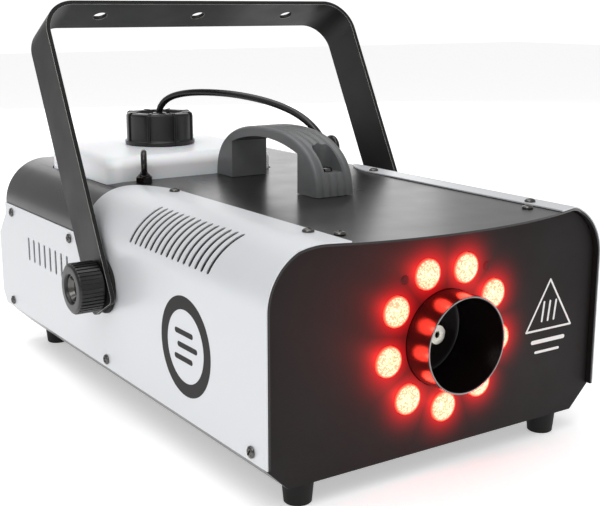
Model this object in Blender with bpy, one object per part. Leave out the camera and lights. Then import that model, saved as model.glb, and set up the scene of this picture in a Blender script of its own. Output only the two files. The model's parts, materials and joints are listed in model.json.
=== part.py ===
"""Fog machine: a low steel housing with a lamp ring round its nozzle, a lift-out fluid
tank, a carrying handle and a hanging yoke that is clamped by two knobs.

Lengths are in millimetres and become metres in world(). A place is given as
(x, back, up): x to the right seen from the front, back from the front edge of the
side panels, up from the underside of the base tray. The origin of the finished
object is on the floor, under the middle of the housing.
"""

import math

import bmesh
import bpy
from mathutils import Matrix, Vector

for old in list(bpy.data.objects):
    bpy.data.objects.remove(old)

MM = 0.001

# Housing
HALF_WIDTH = 125.0
REAR = 414.0  # rear tips of the side panels
BOW = 20.5  # the top's front edge stands this far forward at its middle
BOW_HALF = 105.0
FOOT_HEIGHT = 15.0
CHAMFER_X = 109.0  # half width of the tray's flat underside
SIDE_BOTTOM = 15.6
SHOULDER_UP = 101.1  # height where the sides start to curve
SHOULDER_R = 35.0
SKIN = 0.8  # silver side panels
COVER = 1.2  # black cover and tray
GAP = 0.3
EDGE_X = 78.0  # inner edge of the side panels, on the top
UPPER_REAR = 234.0  # the side panels cover the shoulder in front of this
COVER_REAR = 397.0
PLATE_BACK = 4.0  # the front plate is set back this far
PLATE = 2.0
REAR_PLATE_BACK = 393.5
REAR_PLATE = 1.5

SHOULDER_X = HALF_WIDTH - SHOULDER_R
COVER_R = SHOULDER_R - SKIN - GAP
COVER_TOP = SHOULDER_UP + COVER_R
INNER_R = COVER_R - COVER - 0.4  # outline of the plates under the cover
FRONT = BOW - (REAR + BOW) / 2

# Lamp ring and nozzle
AXIS_UP = 67.0
LAMP_COUNT = 9
LAMP_CIRCLE = 42.3
LAMP_R = 9.15
COLLAR_R = 29.0
COLLAR_FRONT = -15.3

# Vents
TOP_SLOTS = 15
TOP_SLOT_FIRST = 58.5
TOP_SLOT_PITCH = 7.14
TOP_SLOT_WIDTH = 2.0
TOP_SLOT_ANGLES = (16.0, 63.0)
REAR_SLOTS = 8
REAR_SLOT_FIRST = 269.0
REAR_SLOT_PITCH = 11.06
REAR_SLOT_WIDTH = 2.6
REAR_SLOT_UP = (62.5, 81.0)

# Tank, cap and hose
TANK_X = (-101.0, 34.0)
TANK_BACK = (242.0, 356.0)
TANK_UP = (58.0, 152.5)
TANK_WALL = 2.0
CAP_X = -33.0
CAP_BACK = 300.0
CAP_R = 26.5
CAP_UP = (153.2, 176.5)
HOSE_R = 2.5
HOSE_IN = (28.0, 158.0)

# Pump
PUMP_X = 70.0
PUMP_UP = 40.0

# Handle, yoke and safety eyes
HANDLE_BACK = 175.0
HANDLE_HALF = 65.5
HANDLE_X = 14.5
HANDLE_MIDDLE = -3.0
HANDLE_RISE = 39.6
PIVOT_BACK = 204.0
PIVOT_UP = 74.0
YOKE_LEAN = 28.0
YOKE_X = 130.5
YOKE_THICK = 3.0
YOKE_BAR = 36.0
YOKE_REACH = 200.0
KNOB_R = 17.5
KNOB_OUT = 149.0
EYE_X = 80.0
EYE_BACK = 231.5


def world(x, back, up):
    return Vector((x * MM, (FRONT + back) * MM, (FOOT_HEIGHT + up) * MM))


# Materials


def material(name, colour, roughness, metallic=0.0):
    mat = bpy.data.materials.new(name)
    mat.use_nodes = True
    shader = mat.node_tree.nodes["Principled BSDF"]
    shader.inputs["Base Color"].default_value = (*colour, 1.0)
    shader.inputs["Roughness"].default_value = roughness
    shader.inputs["Metallic"].default_value = metallic
    return mat


BLACK_STEEL = material("black_steel", (0.02, 0.02, 0.02), 0.45)
SILVER_STEEL = material("silver_steel", (0.75, 0.76, 0.78), 0.4)
YOKE_STEEL = material("yoke_steel", (0.03, 0.032, 0.03), 0.5)
BLACK_PLASTIC = material("black_plastic", (0.03, 0.03, 0.03), 0.5)
HANDLE_PLASTIC = material("handle_plastic", (0.09, 0.09, 0.09), 0.6)
GLOSS_TUBE = material("gloss_tube", (0.015, 0.015, 0.015), 0.15)
RUBBER = material("rubber", (0.02, 0.02, 0.02), 0.8)
STEEL = material("steel", (0.6, 0.6, 0.6), 0.3, 1.0)
BRASS = material("brass", (0.7, 0.5, 0.25), 0.3, 1.0)
ALUMINIUM = material("aluminium", (0.7, 0.7, 0.7), 0.4, 1.0)
TANK_PLASTIC = material("tank_plastic", (0.85, 0.87, 0.9), 0.4)
LENS = material("lamp_lens", (0.95, 0.35, 0.25), 0.1)
BOARD = material("circuit_board", (0.02, 0.2, 0.08), 0.5)
WOOL = material("insulation", (0.8, 0.78, 0.7), 0.9)
WINDOW = material("display_window", (0.03, 0.0, 0.0), 0.1)


# Shapes


def join_profile(bm, rings, closed):
    """Skin a list of vertex rings; a ring of one vertex is a point on the axis."""
    faces = []
    pairs = list(zip(rings, rings[1:] + rings[:1]))
    for low, high in pairs if closed else pairs[:-1]:
        count = max(len(low), len(high))
        for i in range(count):
            j = (i + 1) % count
            corners = [low[i % len(low)], low[j % len(low)]]
            corners += [high[j % len(high)], high[i % len(high)]]
            faces.append(bm.faces.new(list(dict.fromkeys(corners))))
    if not closed:
        faces += [bm.faces.new(ring) for ring in (rings[0], rings[-1]) if len(ring) > 2]
    bmesh.ops.recalc_face_normals(bm, faces=faces)


def prism(bm, outline, axis, low, high):
    """Carry a flat outline along one axis: X takes (back, up), Y (x, up), Z (x, back)."""
    order = {
        "X": lambda u, v, a: (a, u, v),
        "Y": lambda u, v, a: (u, a, v),
        "Z": lambda u, v, a: (u, v, a),
    }[axis]
    rings = [[bm.verts.new(world(*order(u, v, a))) for u, v in outline] for a in (low, high)]
    join_profile(bm, rings, closed=False)


def block(bm, x, back, up):
    prism(bm, [(x[0], back[0]), (x[1], back[0]), (x[1], back[1]), (x[0], back[1])], "Z", *up)


def turned(bm, profile, axis, centre, steps, closed=False):
    """Turn a profile of (along, radius) about an axis through centre."""
    rings = []
    for along, radius in profile:
        ring = []
        for i in range(steps if radius > 0 else 1):
            turn = 2 * math.pi * (i + 0.5) / steps
            u, v = radius * math.cos(turn), radius * math.sin(turn)
            offset = {"X": (along, u, v), "Y": (u, along, v), "Z": (u, v, along)}[axis]
            ring.append(bm.verts.new(world(*(c + o for c, o in zip(centre, offset)))))
        rings.append(ring)
    join_profile(bm, rings, closed)


def piece(name, bm, mat, origin=None):
    """Finish a mesh as a named piece, with its own origin where it turns or slides."""
    mesh = bpy.data.meshes.new(name)
    bm.to_mesh(mesh)
    bm.free()
    mesh.materials.append(mat)
    mesh.shade_smooth()
    mesh.set_sharp_from_angle(angle=math.radians(35))
    obj = bpy.data.objects.new(name, mesh)
    bpy.context.scene.collection.objects.link(obj)
    if origin is not None:
        place = world(*origin)
        mesh.transform(Matrix.Translation(-place))
        obj.location = place
    return obj


def combine(target, bm, operation):
    """Cut a hidden guide out of a piece, or join it to the piece."""
    guide = piece(target.name + "_guide", bm, target.data.materials[0])
    guide.hide_render = True
    guide.display_type = "WIRE"
    modifier = target.modifiers.new("shape", "BOOLEAN")
    modifier.operation = operation
    modifier.solver = "EXACT"
    modifier.object = guide


def simple(name, mat, build, *args, **kwargs):
    """A piece made by one call of a shape function."""
    bm = bmesh.new()
    build(bm, *args, **kwargs)
    return piece(name, bm, mat)


def arc(cx, cy, radius, start, end, steps):
    """Points along an arc, angles in degrees."""
    turns = [math.radians(start + (end - start) * i / steps) for i in range(steps + 1)]
    return [(cx + radius * math.cos(t), cy + radius * math.sin(t)) for t in turns]


def rounded(x, y, radius, steps=3):
    """A rectangle with round corners."""
    corners = [(x[1], y[1], 0), (x[0], y[1], 90), (x[0], y[0], 180), (x[1], y[0], 270)]
    points = []
    for cx, cy, start in corners:
        inner_x = cx - radius if cx == x[1] else cx + radius
        inner_y = cy - radius if cy == y[1] else cy + radius
        points += arc(inner_x, inner_y, radius, start, start + 90, steps)
    return points


def smooth_path(points, spacing):
    """A smooth curve through the points, with a point about every spacing."""
    points = [Vector(p) for p in points]
    ends = [points[0] * 2 - points[1]] + points + [points[-1] * 2 - points[-2]]
    path = []
    for a, b, c, d in zip(ends, ends[1:], ends[2:], ends[3:]):
        spans = max(1, round((c - b).length / spacing))
        for i in range(spans):
            t = i / spans
            path.append(0.5 * (2 * b + (c - a) * t + (2 * a - 5 * b + 4 * c - d) * t**2
                               + (3 * b - a - 3 * c + d) * t**3))
    return path + [points[-1]]


def tube(name, points, radius, mat, spacing):
    """A round tube along a smooth route."""
    path = smooth_path(points, spacing)
    curve = bpy.data.curves.new(name, "CURVE")
    curve.dimensions = "3D"
    curve.bevel_depth = radius * MM
    curve.bevel_resolution = 2
    curve.use_fill_caps = True
    spline = curve.splines.new("POLY")
    spline.points.add(len(path) - 1)
    for knot, place in zip(spline.points, path):
        knot.co = (*world(*place), 1.0)
    curve.materials.append(mat)
    obj = bpy.data.objects.new(name, curve)
    bpy.context.scene.collection.objects.link(obj)


# Housing


def shoulder(radius, steps=8):
    """The right shoulder's arc, from the side to the top."""
    return arc(SHOULDER_X, SHOULDER_UP, radius, 0, 90, steps)


def mirrored(points):
    return [(-x, y) for x, y in reversed(points)]


def front_bow(margin):
    """Plan outline of all that lies in front of the bowed front edge."""
    radius = (BOW_HALF**2 + BOW**2) / (2 * BOW)
    reach = math.degrees(math.asin(BOW_HALF / radius))
    edge = arc(0, radius - BOW, radius, -90 - reach, -90 + reach, 14)
    wide = HALF_WIDTH + margin
    return [(-wide, 0)] + edge + [(wide, 0), (wide, -BOW - margin), (-wide, -BOW - margin)]


def sector(side, angles, radii):
    """Outline of a piece of the shoulder's wall, for windows and slots."""
    outer = arc(SHOULDER_X, SHOULDER_UP, radii[1], *angles, 5)
    inner = arc(SHOULDER_X, SHOULDER_UP, radii[0], *reversed(angles), 5)
    return [(side * x, up) for x, up in outer + inner]


def tank_opening():
    return rounded((TANK_X[0] - 0.7, TANK_X[1] + 0.7), (TANK_BACK[0] - 0.7, TANK_BACK[1] + 0.7), 10.0)


def top_cover():
    wall = HALF_WIDTH - SKIN - GAP
    outer = [(wall, SIDE_BOTTOM)] + shoulder(COVER_R)
    inner = [(wall - COVER, SIDE_BOTTOM)] + shoulder(COVER_R - COVER)
    outline = outer + mirrored(outer) + list(reversed(mirrored(inner))) + list(reversed(inner))
    cover = simple("top_cover", BLACK_STEEL, prism, outline, "Y", -BOW - 5, COVER_REAR)
    holes = bmesh.new()
    prism(holes, front_bow(10), "Z", -5, 160)
    prism(holes, tank_opening(), "Z", 120, 150)
    turned(holes, [(120, 4.6), (145, 4.6)], "Z", (*HOSE_IN, 0), 12)
    for back in (HANDLE_BACK - 54, HANDLE_BACK + 54):
        turned(holes, [(120, 2.4), (145, 2.4)], "Z", (HANDLE_MIDDLE, back, 0), 8)
    slot_end = TOP_SLOT_FIRST + (TOP_SLOTS - 1) * TOP_SLOT_PITCH
    rear_end = REAR_SLOT_FIRST + (REAR_SLOTS - 1) * REAR_SLOT_PITCH
    for side in (-1, 1):
        turned(holes, [(120, 3.3), (145, 3.3)], "Z", (side * EYE_X, EYE_BACK, 0), 10)
        turned(holes, [(110, 5.3), (130, 5.3)] if side > 0 else [(-130, 5.3), (-110, 5.3)],
               "X", (0, PIVOT_BACK, PIVOT_UP), 12)
        prism(holes, sector(side, (14, 65), (28, 38)), "Y", TOP_SLOT_FIRST - 3, slot_end + 3)
        block(holes, sorted((side * 118, side * 130)), (REAR_SLOT_FIRST - 3, rear_end + 3),
              (REAR_SLOT_UP[0] - 2, REAR_SLOT_UP[1] + 2))
    combine(cover, holes, "DIFFERENCE")


def side_panel(name, side):
    outer = [(HALF_WIDTH, SIDE_BOTTOM)] + shoulder(SHOULDER_R) + [(EDGE_X, SHOULDER_UP + SHOULDER_R)]
    inner_r = SHOULDER_R - SKIN
    inner = [(HALF_WIDTH - SKIN, SIDE_BOTTOM)] + shoulder(inner_r) + [(EDGE_X, SHOULDER_UP + inner_r)]
    outline = [(side * x, up) for x, up in outer + list(reversed(inner))]
    panel = simple(name, SILVER_STEEL, prism, outline, "Y", -BOW - 5, REAR)
    cuts = bmesh.new()
    prism(cuts, front_bow(10), "Z", -5, 160)
    corner = arc(EDGE_X + 35, UPPER_REAR - 35, 35, 180, 90, 6)
    upper = [(EDGE_X - 5, UPPER_REAR - 35)] + corner + [(140, UPPER_REAR), (140, 430), (EDGE_X - 5, 430)]
    prism(cuts, [(side * x, back) for x, back in upper], "Z", SHOULDER_UP, 160)
    combine(panel, cuts, "DIFFERENCE")
    ear = [(COVER_REAR, 110), (COVER_REAR, 92), (REAR, 74), (REAR, 25),
           (405, SIDE_BOTTOM - 1), (430, SIDE_BOTTOM - 1), (430, 110)]
    tips = bmesh.new()
    prism(tips, ear, "X", *sorted((side * 110, side * 140)))
    combine(panel, tips, "DIFFERENCE")
    vents = bmesh.new()
    for i in range(TOP_SLOTS):
        middle = TOP_SLOT_FIRST + i * TOP_SLOT_PITCH
        prism(vents, sector(side, TOP_SLOT_ANGLES, (30, 40)), "Y",
              middle - TOP_SLOT_WIDTH / 2, middle + TOP_SLOT_WIDTH / 2)
    for i in range(REAR_SLOTS):
        middle = REAR_SLOT_FIRST + i * REAR_SLOT_PITCH
        block(vents, sorted((side * 118, side * 130)),
              (middle - REAR_SLOT_WIDTH / 2, middle + REAR_SLOT_WIDTH / 2), REAR_SLOT_UP)
    turned(vents, [(110, 5.3), (130, 5.3)] if side > 0 else [(-130, 5.3), (-110, 5.3)],
           "X", (0, PIVOT_BACK, PIVOT_UP), 12)
    combine(panel, vents, "DIFFERENCE")


def plate_outline():
    """Outline shared by the front plate and the rear plate."""
    wall = SHOULDER_X + INNER_R
    half = [(CHAMFER_X, 0), (HALF_WIDTH - 0.6, SIDE_BOTTOM - 0.5), (wall, SIDE_BOTTOM - 0.5)]
    half += shoulder(INNER_R)
    return half + mirrored(half)


def lamp_places():
    """Centres of the lamps as (x, up), the first one straight down."""
    turns = [math.radians(-90 + 360 * i / LAMP_COUNT) for i in range(LAMP_COUNT)]
    return [(LAMP_CIRCLE * math.cos(t), AXIS_UP + LAMP_CIRCLE * math.sin(t)) for t in turns]


def front_panel():
    plate = simple("front_panel", BLACK_STEEL, prism, plate_outline(), "Y",
                   PLATE_BACK, PLATE_BACK + PLATE)
    holes = bmesh.new()
    turned(holes, [(0, COLLAR_R + 0.4), (10, COLLAR_R + 0.4)], "Y", (0, 0, AXIS_UP), 32)
    for x, up in lamp_places():
        turned(holes, [(0, LAMP_R + 0.35), (10, LAMP_R + 0.35)], "Y", (x, 0, up), 16)
    combine(plate, holes, "DIFFERENCE")


def base_tray():
    outer_wall = SHOULDER_X + INNER_R
    wall = outer_wall - COVER
    bend = SIDE_BOTTOM - 0.5
    outer = [(CHAMFER_X, 0), (HALF_WIDTH - 0.6, bend), (outer_wall, bend), (outer_wall, 30)]
    inner = [(CHAMFER_X - 0.4, COVER), (wall, bend - COVER), (wall, 30)]
    outline = outer + list(reversed(inner)) + [(-x, up) for x, up in inner] + mirrored(outer)
    simple("base_tray", BLACK_STEEL, prism, outline, "Y",
           PLATE_BACK + PLATE + GAP, REAR_PLATE_BACK - GAP)


def rear_panel():
    plate = simple("rear_panel", BLACK_STEEL, prism, plate_outline(), "Y",
                   REAR_PLATE_BACK, REAR_PLATE_BACK + REAR_PLATE)
    holes = bmesh.new()
    back = (REAR_PLATE_BACK - 5, REAR_PLATE_BACK + 5)
    block(holes, DISPLAY_X, back, DISPLAY_UP)
    block(holes, (INLET_X[0] - GAP, INLET_X[1] + GAP), back, (INLET_UP[0] - GAP, INLET_UP[1] + GAP))
    for x in SOCKET_X:
        turned(holes, [(-5, SOCKET_R + GAP), (5, SOCKET_R + GAP)],
               "Y", (x, REAR_PLATE_BACK, SOCKET_UP), 20)
    for x in BUTTON_X.values():
        turned(holes, [(-5, BUTTON_R + 0.35), (5, BUTTON_R + 0.35)],
               "Y", (x, REAR_PLATE_BACK, BUTTON_UP), 12)
    combine(plate, holes, "DIFFERENCE")


def feet():
    for end, back in (("front", 16.0), ("rear", 375.0)):
        for side, x in (("left", -95.0), ("right", 95.0)):
            profile = [(-FOOT_HEIGHT, 4), (-FOOT_HEIGHT, 8), (-GAP, 9.4), (-GAP, 2), (-6, 2), (-6, 4)]
            simple(f"{end}_{side}_foot", RUBBER, turned, profile, "Z", (x, back, 0), 16, closed=True)


# Nozzle, lamps and heater


def nozzle():
    wall = COLLAR_R - 1.4
    profile = [(COLLAR_FRONT, wall), (COLLAR_FRONT, COLLAR_R), (6.4, COLLAR_R), (6.4, COLLAR_R + 2.5),
               (7.6, COLLAR_R + 2.5), (7.6, COLLAR_R), (24, COLLAR_R), (24, 9), (22.6, 9), (22.6, wall)]
    simple("nozzle_collar", GLOSS_TUBE, turned, profile, "Y", (0, 0, AXIS_UP), 32, closed=True)
    tip = [(10.5, 1.5), (10.5, 6.0), (12, 7.2), (26, 7.2), (26, 10.5),
           (34, 10.5), (34, 6), (39.6, 6), (39.6, 1.5)]
    simple("nozzle_tip", BRASS, turned, tip, "Y", (0, 0, AXIS_UP), 18, closed=True)


def lamps():
    simple("led_board", BOARD, turned, [(12.2, 32.5), (12.2, 53), (13.8, 53), (13.8, 32.5)],
           "Y", (0, 0, AXIS_UP), 32, closed=True)
    dome = [(11.8, LAMP_R), (3.4, LAMP_R), (2.5, LAMP_R - 1.6), (1.9, LAMP_R * 0.45), (1.8, 0)]
    for i, (x, up) in enumerate(lamp_places(), 1):
        simple(f"led_lens_{i}", LENS, turned, dome, "Y", (x, 0, up), 16)


def heater():
    low, high = AXIS_UP - 28, AXIS_UP + 28
    body = simple("heater_block", ALUMINIUM, prism, rounded((-28, 28), (low, high), 6), "Y", 40, 190)
    bore = bmesh.new()
    turned(bore, [(70, 6), (195, 6)], "Y", (0, 0, AXIS_UP), 14)
    combine(body, bore, "DIFFERENCE")
    simple("heating_element", STEEL, turned, [(74, 5.6), (204, 5.6)], "Y", (0, 0, AXIS_UP), 14)
    sleeve = simple("insulation_jacket", WOOL, prism,
                    rounded((-39, 39), (low - 11, high + 11), 12), "Y", 46, 184)
    bore = bmesh.new()
    prism(bore, rounded((-28.5, 28.5), (low - 0.5, high + 0.5), 6.5), "Y", 40, 190)
    combine(sleeve, bore, "DIFFERENCE")
    floor = COVER + 0.4
    saddle = [(41, floor), (189, floor), (189, low - 0.4), (187, low - 0.4), (187, floor + 1.5),
              (43, floor + 1.5), (43, low - 0.4), (41, low - 0.4)]
    simple("heater_bracket", STEEL, prism, saddle, "X", -26, 26)
    simple("thermostat", BLACK_PLASTIC, turned, [(190.4, 8), (195, 8), (195, 5), (200, 5)],
           "Y", (-15, 0, 82), 14)


def pump():
    centre = (PUMP_X, 0, PUMP_UP)
    body = simple("pump_body", STEEL, block,
                  (PUMP_X - 18, PUMP_X + 18), (205, 249), (PUMP_UP - 18, PUMP_UP + 18))
    core = bmesh.new()
    turned(core, [(190, 9), (264, 9)], "Y", centre, 16)
    combine(body, core, "UNION")
    bore = bmesh.new()
    turned(bore, [(185, 1.6), (197, 1.6), (197, 5.4), (257, 5.4), (257, 1.6), (269, 1.6)],
           "Y", centre, 12)
    combine(body, bore, "DIFFERENCE")
    bm = bmesh.new()
    turned(bm, [(212, 1.5), (212, 5), (242, 5), (242, 1.5)], "Y", centre, 12, closed=True)
    piece("pump_plunger", bm, STEEL, origin=(PUMP_X, 227, PUMP_UP))
    floor = COVER + 0.4
    cradle = [(-20, floor), (20, floor), (20, PUMP_UP), (18.5, PUMP_UP), (18.5, floor + 1.5),
              (-18.5, floor + 1.5), (-18.5, PUMP_UP), (-20, PUMP_UP)]
    simple("pump_bracket", STEEL, prism, [(PUMP_X + x, up) for x, up in cradle], "Y", 212, 242)
    suction = [(*HOSE_IN, 131.0), (29, 160, 119), (45, 176, 114), (75, 200, 104), (97, 235, 84),
               (98, 270, 58), (86, 286, 43), (74, 282, PUMP_UP), (PUMP_X, 270, PUMP_UP),
               (PUMP_X, 264.4, PUMP_UP)]
    tube("suction_tube", suction, HOSE_R, BLACK_PLASTIC, 9)
    delivery = [(PUMP_X, 189.6, PUMP_UP), (PUMP_X, 178, PUMP_UP), (60, 168, 42), (49, 176, 46),
                (47, 195, 50), (36, 210, 53), (22, 210, 54), (16, 201, 54), (16, 190.4, 54)]
    tube("delivery_tube", delivery, 2.0, STEEL, 7)


# Tank, cap and hose


def tank():
    radius = 10.0
    shell = bmesh.new()
    rings = []
    low, top = TANK_UP
    for inset, up in ((3, low), (0, low + 4), (0, top - 7), (2, top - 2.2), (7, top)):
        outline = rounded((TANK_X[0] + inset, TANK_X[1] - inset),
                          (TANK_BACK[0] + inset, TANK_BACK[1] - inset), radius - inset * 0.8)
        rings.append([shell.verts.new(world(x, back, up)) for x, back in outline])
    join_profile(shell, rings, closed=False)
    body = piece("fluid_tank", shell, TANK_PLASTIC)
    neck = bmesh.new()
    turned(neck, [(TANK_UP[1] - 1, 19.8), (166, 19.8)], "Z", (CAP_X, CAP_BACK, 0), 20)
    combine(body, neck, "UNION")
    hollow = bmesh.new()
    inner = rounded((TANK_X[0] + TANK_WALL, TANK_X[1] - TANK_WALL),
                    (TANK_BACK[0] + TANK_WALL, TANK_BACK[1] - TANK_WALL), radius - TANK_WALL)
    prism(hollow, inner, "Z", TANK_UP[0] + TANK_WALL, TANK_UP[1] - 3)
    combine(body, hollow, "DIFFERENCE")
    mouth = bmesh.new()
    turned(mouth, [(TANK_UP[1] - 10, 17.4), (170, 17.4)], "Z", (CAP_X, CAP_BACK, 0), 20)
    combine(body, mouth, "DIFFERENCE")
    floor = COVER + 0.4
    left, right = TANK_X[0] + 4, TANK_X[1] - 4
    shelf = [(left, floor), (left + 14, floor), (left + 14, floor + 1.5), (left + 1.5, floor + 1.5),
             (left + 1.5, TANK_UP[0] - 2), (right - 1.5, TANK_UP[0] - 2), (right - 1.5, floor + 1.5),
             (right - 14, floor + 1.5), (right - 14, floor), (right, floor), (right, TANK_UP[0] - 0.4),
             (left, TANK_UP[0] - 0.4)]
    simple("tank_cradle", STEEL, prism, shelf, "Y", TANK_BACK[0] + 12, TANK_BACK[1] - 12)


def cap():
    low, top = CAP_UP
    profile = [(low, 20.4), (low, CAP_R), (low + 2.6, CAP_R), (low + 3.2, 25.2), (top - 1.5, 25.2),
               (top, 23.8), (top, 17.5), (171.8, 16.5), (171.8, 3.2), (168.6, 3.2), (168.6, 20.4)]
    bm = bmesh.new()
    turned(bm, profile, "Z", (CAP_X, CAP_BACK, 0), 32, closed=True)
    piece("tank_cap", bm, BLACK_PLASTIC, origin=(CAP_X, CAP_BACK, low))
    bm = bmesh.new()
    turned(bm, [(166.3, 15), (166.3, 20), (168.3, 20), (168.3, 15)],
           "Z", (CAP_X, CAP_BACK, 0), 24, closed=True)
    piece("cap_gasket", bm, RUBBER, origin=(CAP_X, CAP_BACK, low))
    pickup = [(62, 1.4), (62, 6), (74, 6), (77, HOSE_R), (174, HOSE_R), (174, 1.4)]
    simple("pickup_tube", BLACK_PLASTIC, turned, pickup,
           "Z", (CAP_X, CAP_BACK, 0), 10, closed=True)


def hose():
    route = [(CAP_X, CAP_BACK, 174.5), (CAP_X, CAP_BACK, 177.5), (-31.2, 296.4, 183.6),
             (-27.6, 288.5, 188.6), (-21.5, 275, 191.8), (-13, 256, 193), (-3, 233, 192.2),
             (8, 208, 188.4), (17, 187, 181.6), (23, 172, 171.6), (26.8, 162, 158),
             (*HOSE_IN, 146), (*HOSE_IN, 138.2)]
    tube("suction_hose", route, HOSE_R, BLACK_PLASTIC, 9)
    top = COVER_TOP
    grommet = [(top + GAP, 4.3), (top + GAP, 6.6), (top + 1.6, 6.4), (top + 2.8, 4.4), (top + 2.8, 1.5),
               (top - 3.6, 1.5), (top - 3.6, 6.2), (top - COVER - GAP, 6.2), (top - COVER - GAP, 4.3)]
    simple("hose_grommet", RUBBER, turned, grommet, "Z", (*HOSE_IN, 0), 14, closed=True)


# Handle, yoke, knobs and eyes


def handle():
    base = COVER_TOP + GAP
    power = 2 / 2.4
    outer = []
    for i in range(21):
        turn = math.pi * i / 20
        x, y = math.cos(turn), math.sin(turn)
        back = HANDLE_BACK + HANDLE_HALF * math.copysign(abs(x) ** power, x)
        outer.append((back, base + HANDLE_RISE * y**power))
    gap_half, sag = 42.2, 7.0
    radius = (gap_half**2 + sag**2) / (2 * sag)
    reach = math.degrees(math.asin(gap_half / radius))
    inner = arc(HANDLE_BACK, base + 33.0 - radius, radius, 90 + reach, 90 - reach, 8)
    outline = outer + [(HANDLE_BACK - gap_half, base)] + inner + [(HANDLE_BACK + gap_half, base)]
    grip = simple("carry_handle", HANDLE_PLASTIC, prism, outline, "X",
                  HANDLE_MIDDLE - HANDLE_X, HANDLE_MIDDLE + HANDLE_X)
    pockets = bmesh.new()
    for sign, name in ((-1, "front"), (1, "rear")):
        back = HANDLE_BACK + sign * 54
        block(pockets, (HANDLE_MIDDLE - 7, HANDLE_MIDDLE + 7),
              sorted((HANDLE_BACK + sign * 80, HANDLE_BACK + sign * 44)), (base + 15, base + 60))
        head = [(base + 15.3, 4.2), (base + 17.6, 3.6)]
        screw = [(base - 8, 2.0), (base + 15.3, 2.0)] + head
        simple(f"handle_screw_{name}", STEEL, turned, screw, "Z", (HANDLE_MIDDLE, back, 0), 10)
    combine(grip, pockets, "DIFFERENCE")
    holes = bmesh.new()
    for sign in (-1, 1):
        turned(holes, [(base - 5, 2.4), (base + 20, 2.4)],
               "Z", (HANDLE_MIDDLE, HANDLE_BACK + sign * 54, 0), 8)
    combine(grip, holes, "DIFFERENCE")


def yoke():
    bend = 24.0
    top = PIVOT_UP + YOKE_REACH
    foot = PIVOT_UP - 17.0
    outer = [(YOKE_X, foot)] + arc(YOKE_X - bend, top - bend, bend, 0, 90, 6)
    inner = [(YOKE_X - YOKE_THICK, foot)] + arc(YOKE_X - bend, top - bend, bend - YOKE_THICK, 0, 90, 6)
    outline = outer + mirrored(outer) + list(reversed(mirrored(inner))) + list(reversed(inner))
    bm = bmesh.new()
    prism(bm, outline, "Y", PIVOT_BACK - YOKE_BAR / 2, PIVOT_BACK + YOKE_BAR / 2)
    low = world(0, 0, foot).z
    corners = [e for e in bm.edges if all(abs(v.co.z - low) < 1e-6 for v in e.verts)
               and abs(e.verts[0].co.y - e.verts[1].co.y) < 1e-6]
    bmesh.ops.bevel(bm, geom=corners, offset=5 * MM, segments=3, profile=0.5, affect="EDGES")
    frame = piece("yoke", bm, YOKE_STEEL, origin=(0, PIVOT_BACK, PIVOT_UP))
    holes = bmesh.new()
    turned(holes, [(-140, 5.4), (-120, 5.4)], "X", (0, PIVOT_BACK, PIVOT_UP), 14)
    turned(holes, [(120, 5.4), (140, 5.4)], "X", (0, PIVOT_BACK, PIVOT_UP), 14)
    for x in (-80, 0, 80):
        turned(holes, [(top - 10, 5.2), (top + 10, 5.2)], "Z", (x, PIVOT_BACK, 0), 14)
    combine(frame, holes, "DIFFERENCE")
    guide = frame.modifiers["shape"].object
    place = world(0, PIVOT_BACK, PIVOT_UP)
    guide.data.transform(Matrix.Translation(-place))
    guide.location = place
    for obj in (frame, guide):
        obj.rotation_euler.x = -math.radians(YOKE_LEAN)


def clamps():
    for name, side in (("left", -1), ("right", 1)):
        centre = (0, PIVOT_BACK, PIVOT_UP)

        def out(profile):
            return [(side * along, radius) for along, radius in profile]

        spacer = [(HALF_WIDTH + GAP, 5.3), (HALF_WIDTH + GAP, 19.5), (127.1, 19.5), (127.1, 5.3)]
        simple(f"{name}_spacer", RUBBER, turned, out(spacer), "X", centre, 24, closed=True)
        stud = [(116, 8), (121.8, 8), (121.8, 4.8), (143.2, 4.8), (144, 4.0)]
        simple(f"{name}_pivot_stud", STEEL, turned, out(stud), "X", centre, 12)
        knob = [(130.9, 5.1), (130.9, 16.3), (132.2, KNOB_R), (KNOB_OUT - 1.6, KNOB_R), (KNOB_OUT, 15.8),
                (KNOB_OUT, 9.2), (142, 8), (142, 5.1)]
        bm = bmesh.new()
        turned(bm, out(knob), "X", centre, 28, closed=True)
        piece(f"{name}_clamp_knob", bm, BLACK_PLASTIC, origin=(side * 131, PIVOT_BACK, PIVOT_UP))


def safety_eyes():
    for name, x, turn in (("left", -EYE_X, 25), ("right", EYE_X, 0)):
        collar = COVER_TOP + GAP
        post = [(125, 2.9), (collar, 2.9), (collar, 6.2), (collar + 4.5, 6.2), (collar + 6, 4),
                (collar + 6, 2.4), (collar + 7, 2.4)]
        eye = simple(f"{name}_safety_eye", BLACK_STEEL, turned, post, "Z", (x, EYE_BACK, 0), 10)
        middle = collar + 13.4
        ring = bmesh.new()
        wire = arc(0, 7.2, 2.1, 0, 360, 8)[:-1]
        turned(ring, wire, "X", (x, EYE_BACK, middle), 18, closed=True)
        spin = Matrix.Rotation(-math.radians(turn), 3, "Z")
        bmesh.ops.rotate(ring, verts=ring.verts, cent=world(x, EYE_BACK, middle), matrix=spin)
        combine(eye, ring, "UNION")


# Rear controls

DISPLAY_X = (-92.0, -46.0)
DISPLAY_UP = (92.0, 112.0)
BUTTON_X = {"menu": -90.0, "up": -69.0, "down": -48.0}
BUTTON_UP = 78.0
BUTTON_R = 4.0
SOCKET_X = (0.0, 36.0)
SOCKET_UP = 88.0
SOCKET_R = 11.8
INLET_X = (62.0, 90.0)
INLET_UP = (34.0, 102.0)
ROCKER_UP = 88.0
ROCKER_TILT = 7.0


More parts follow.
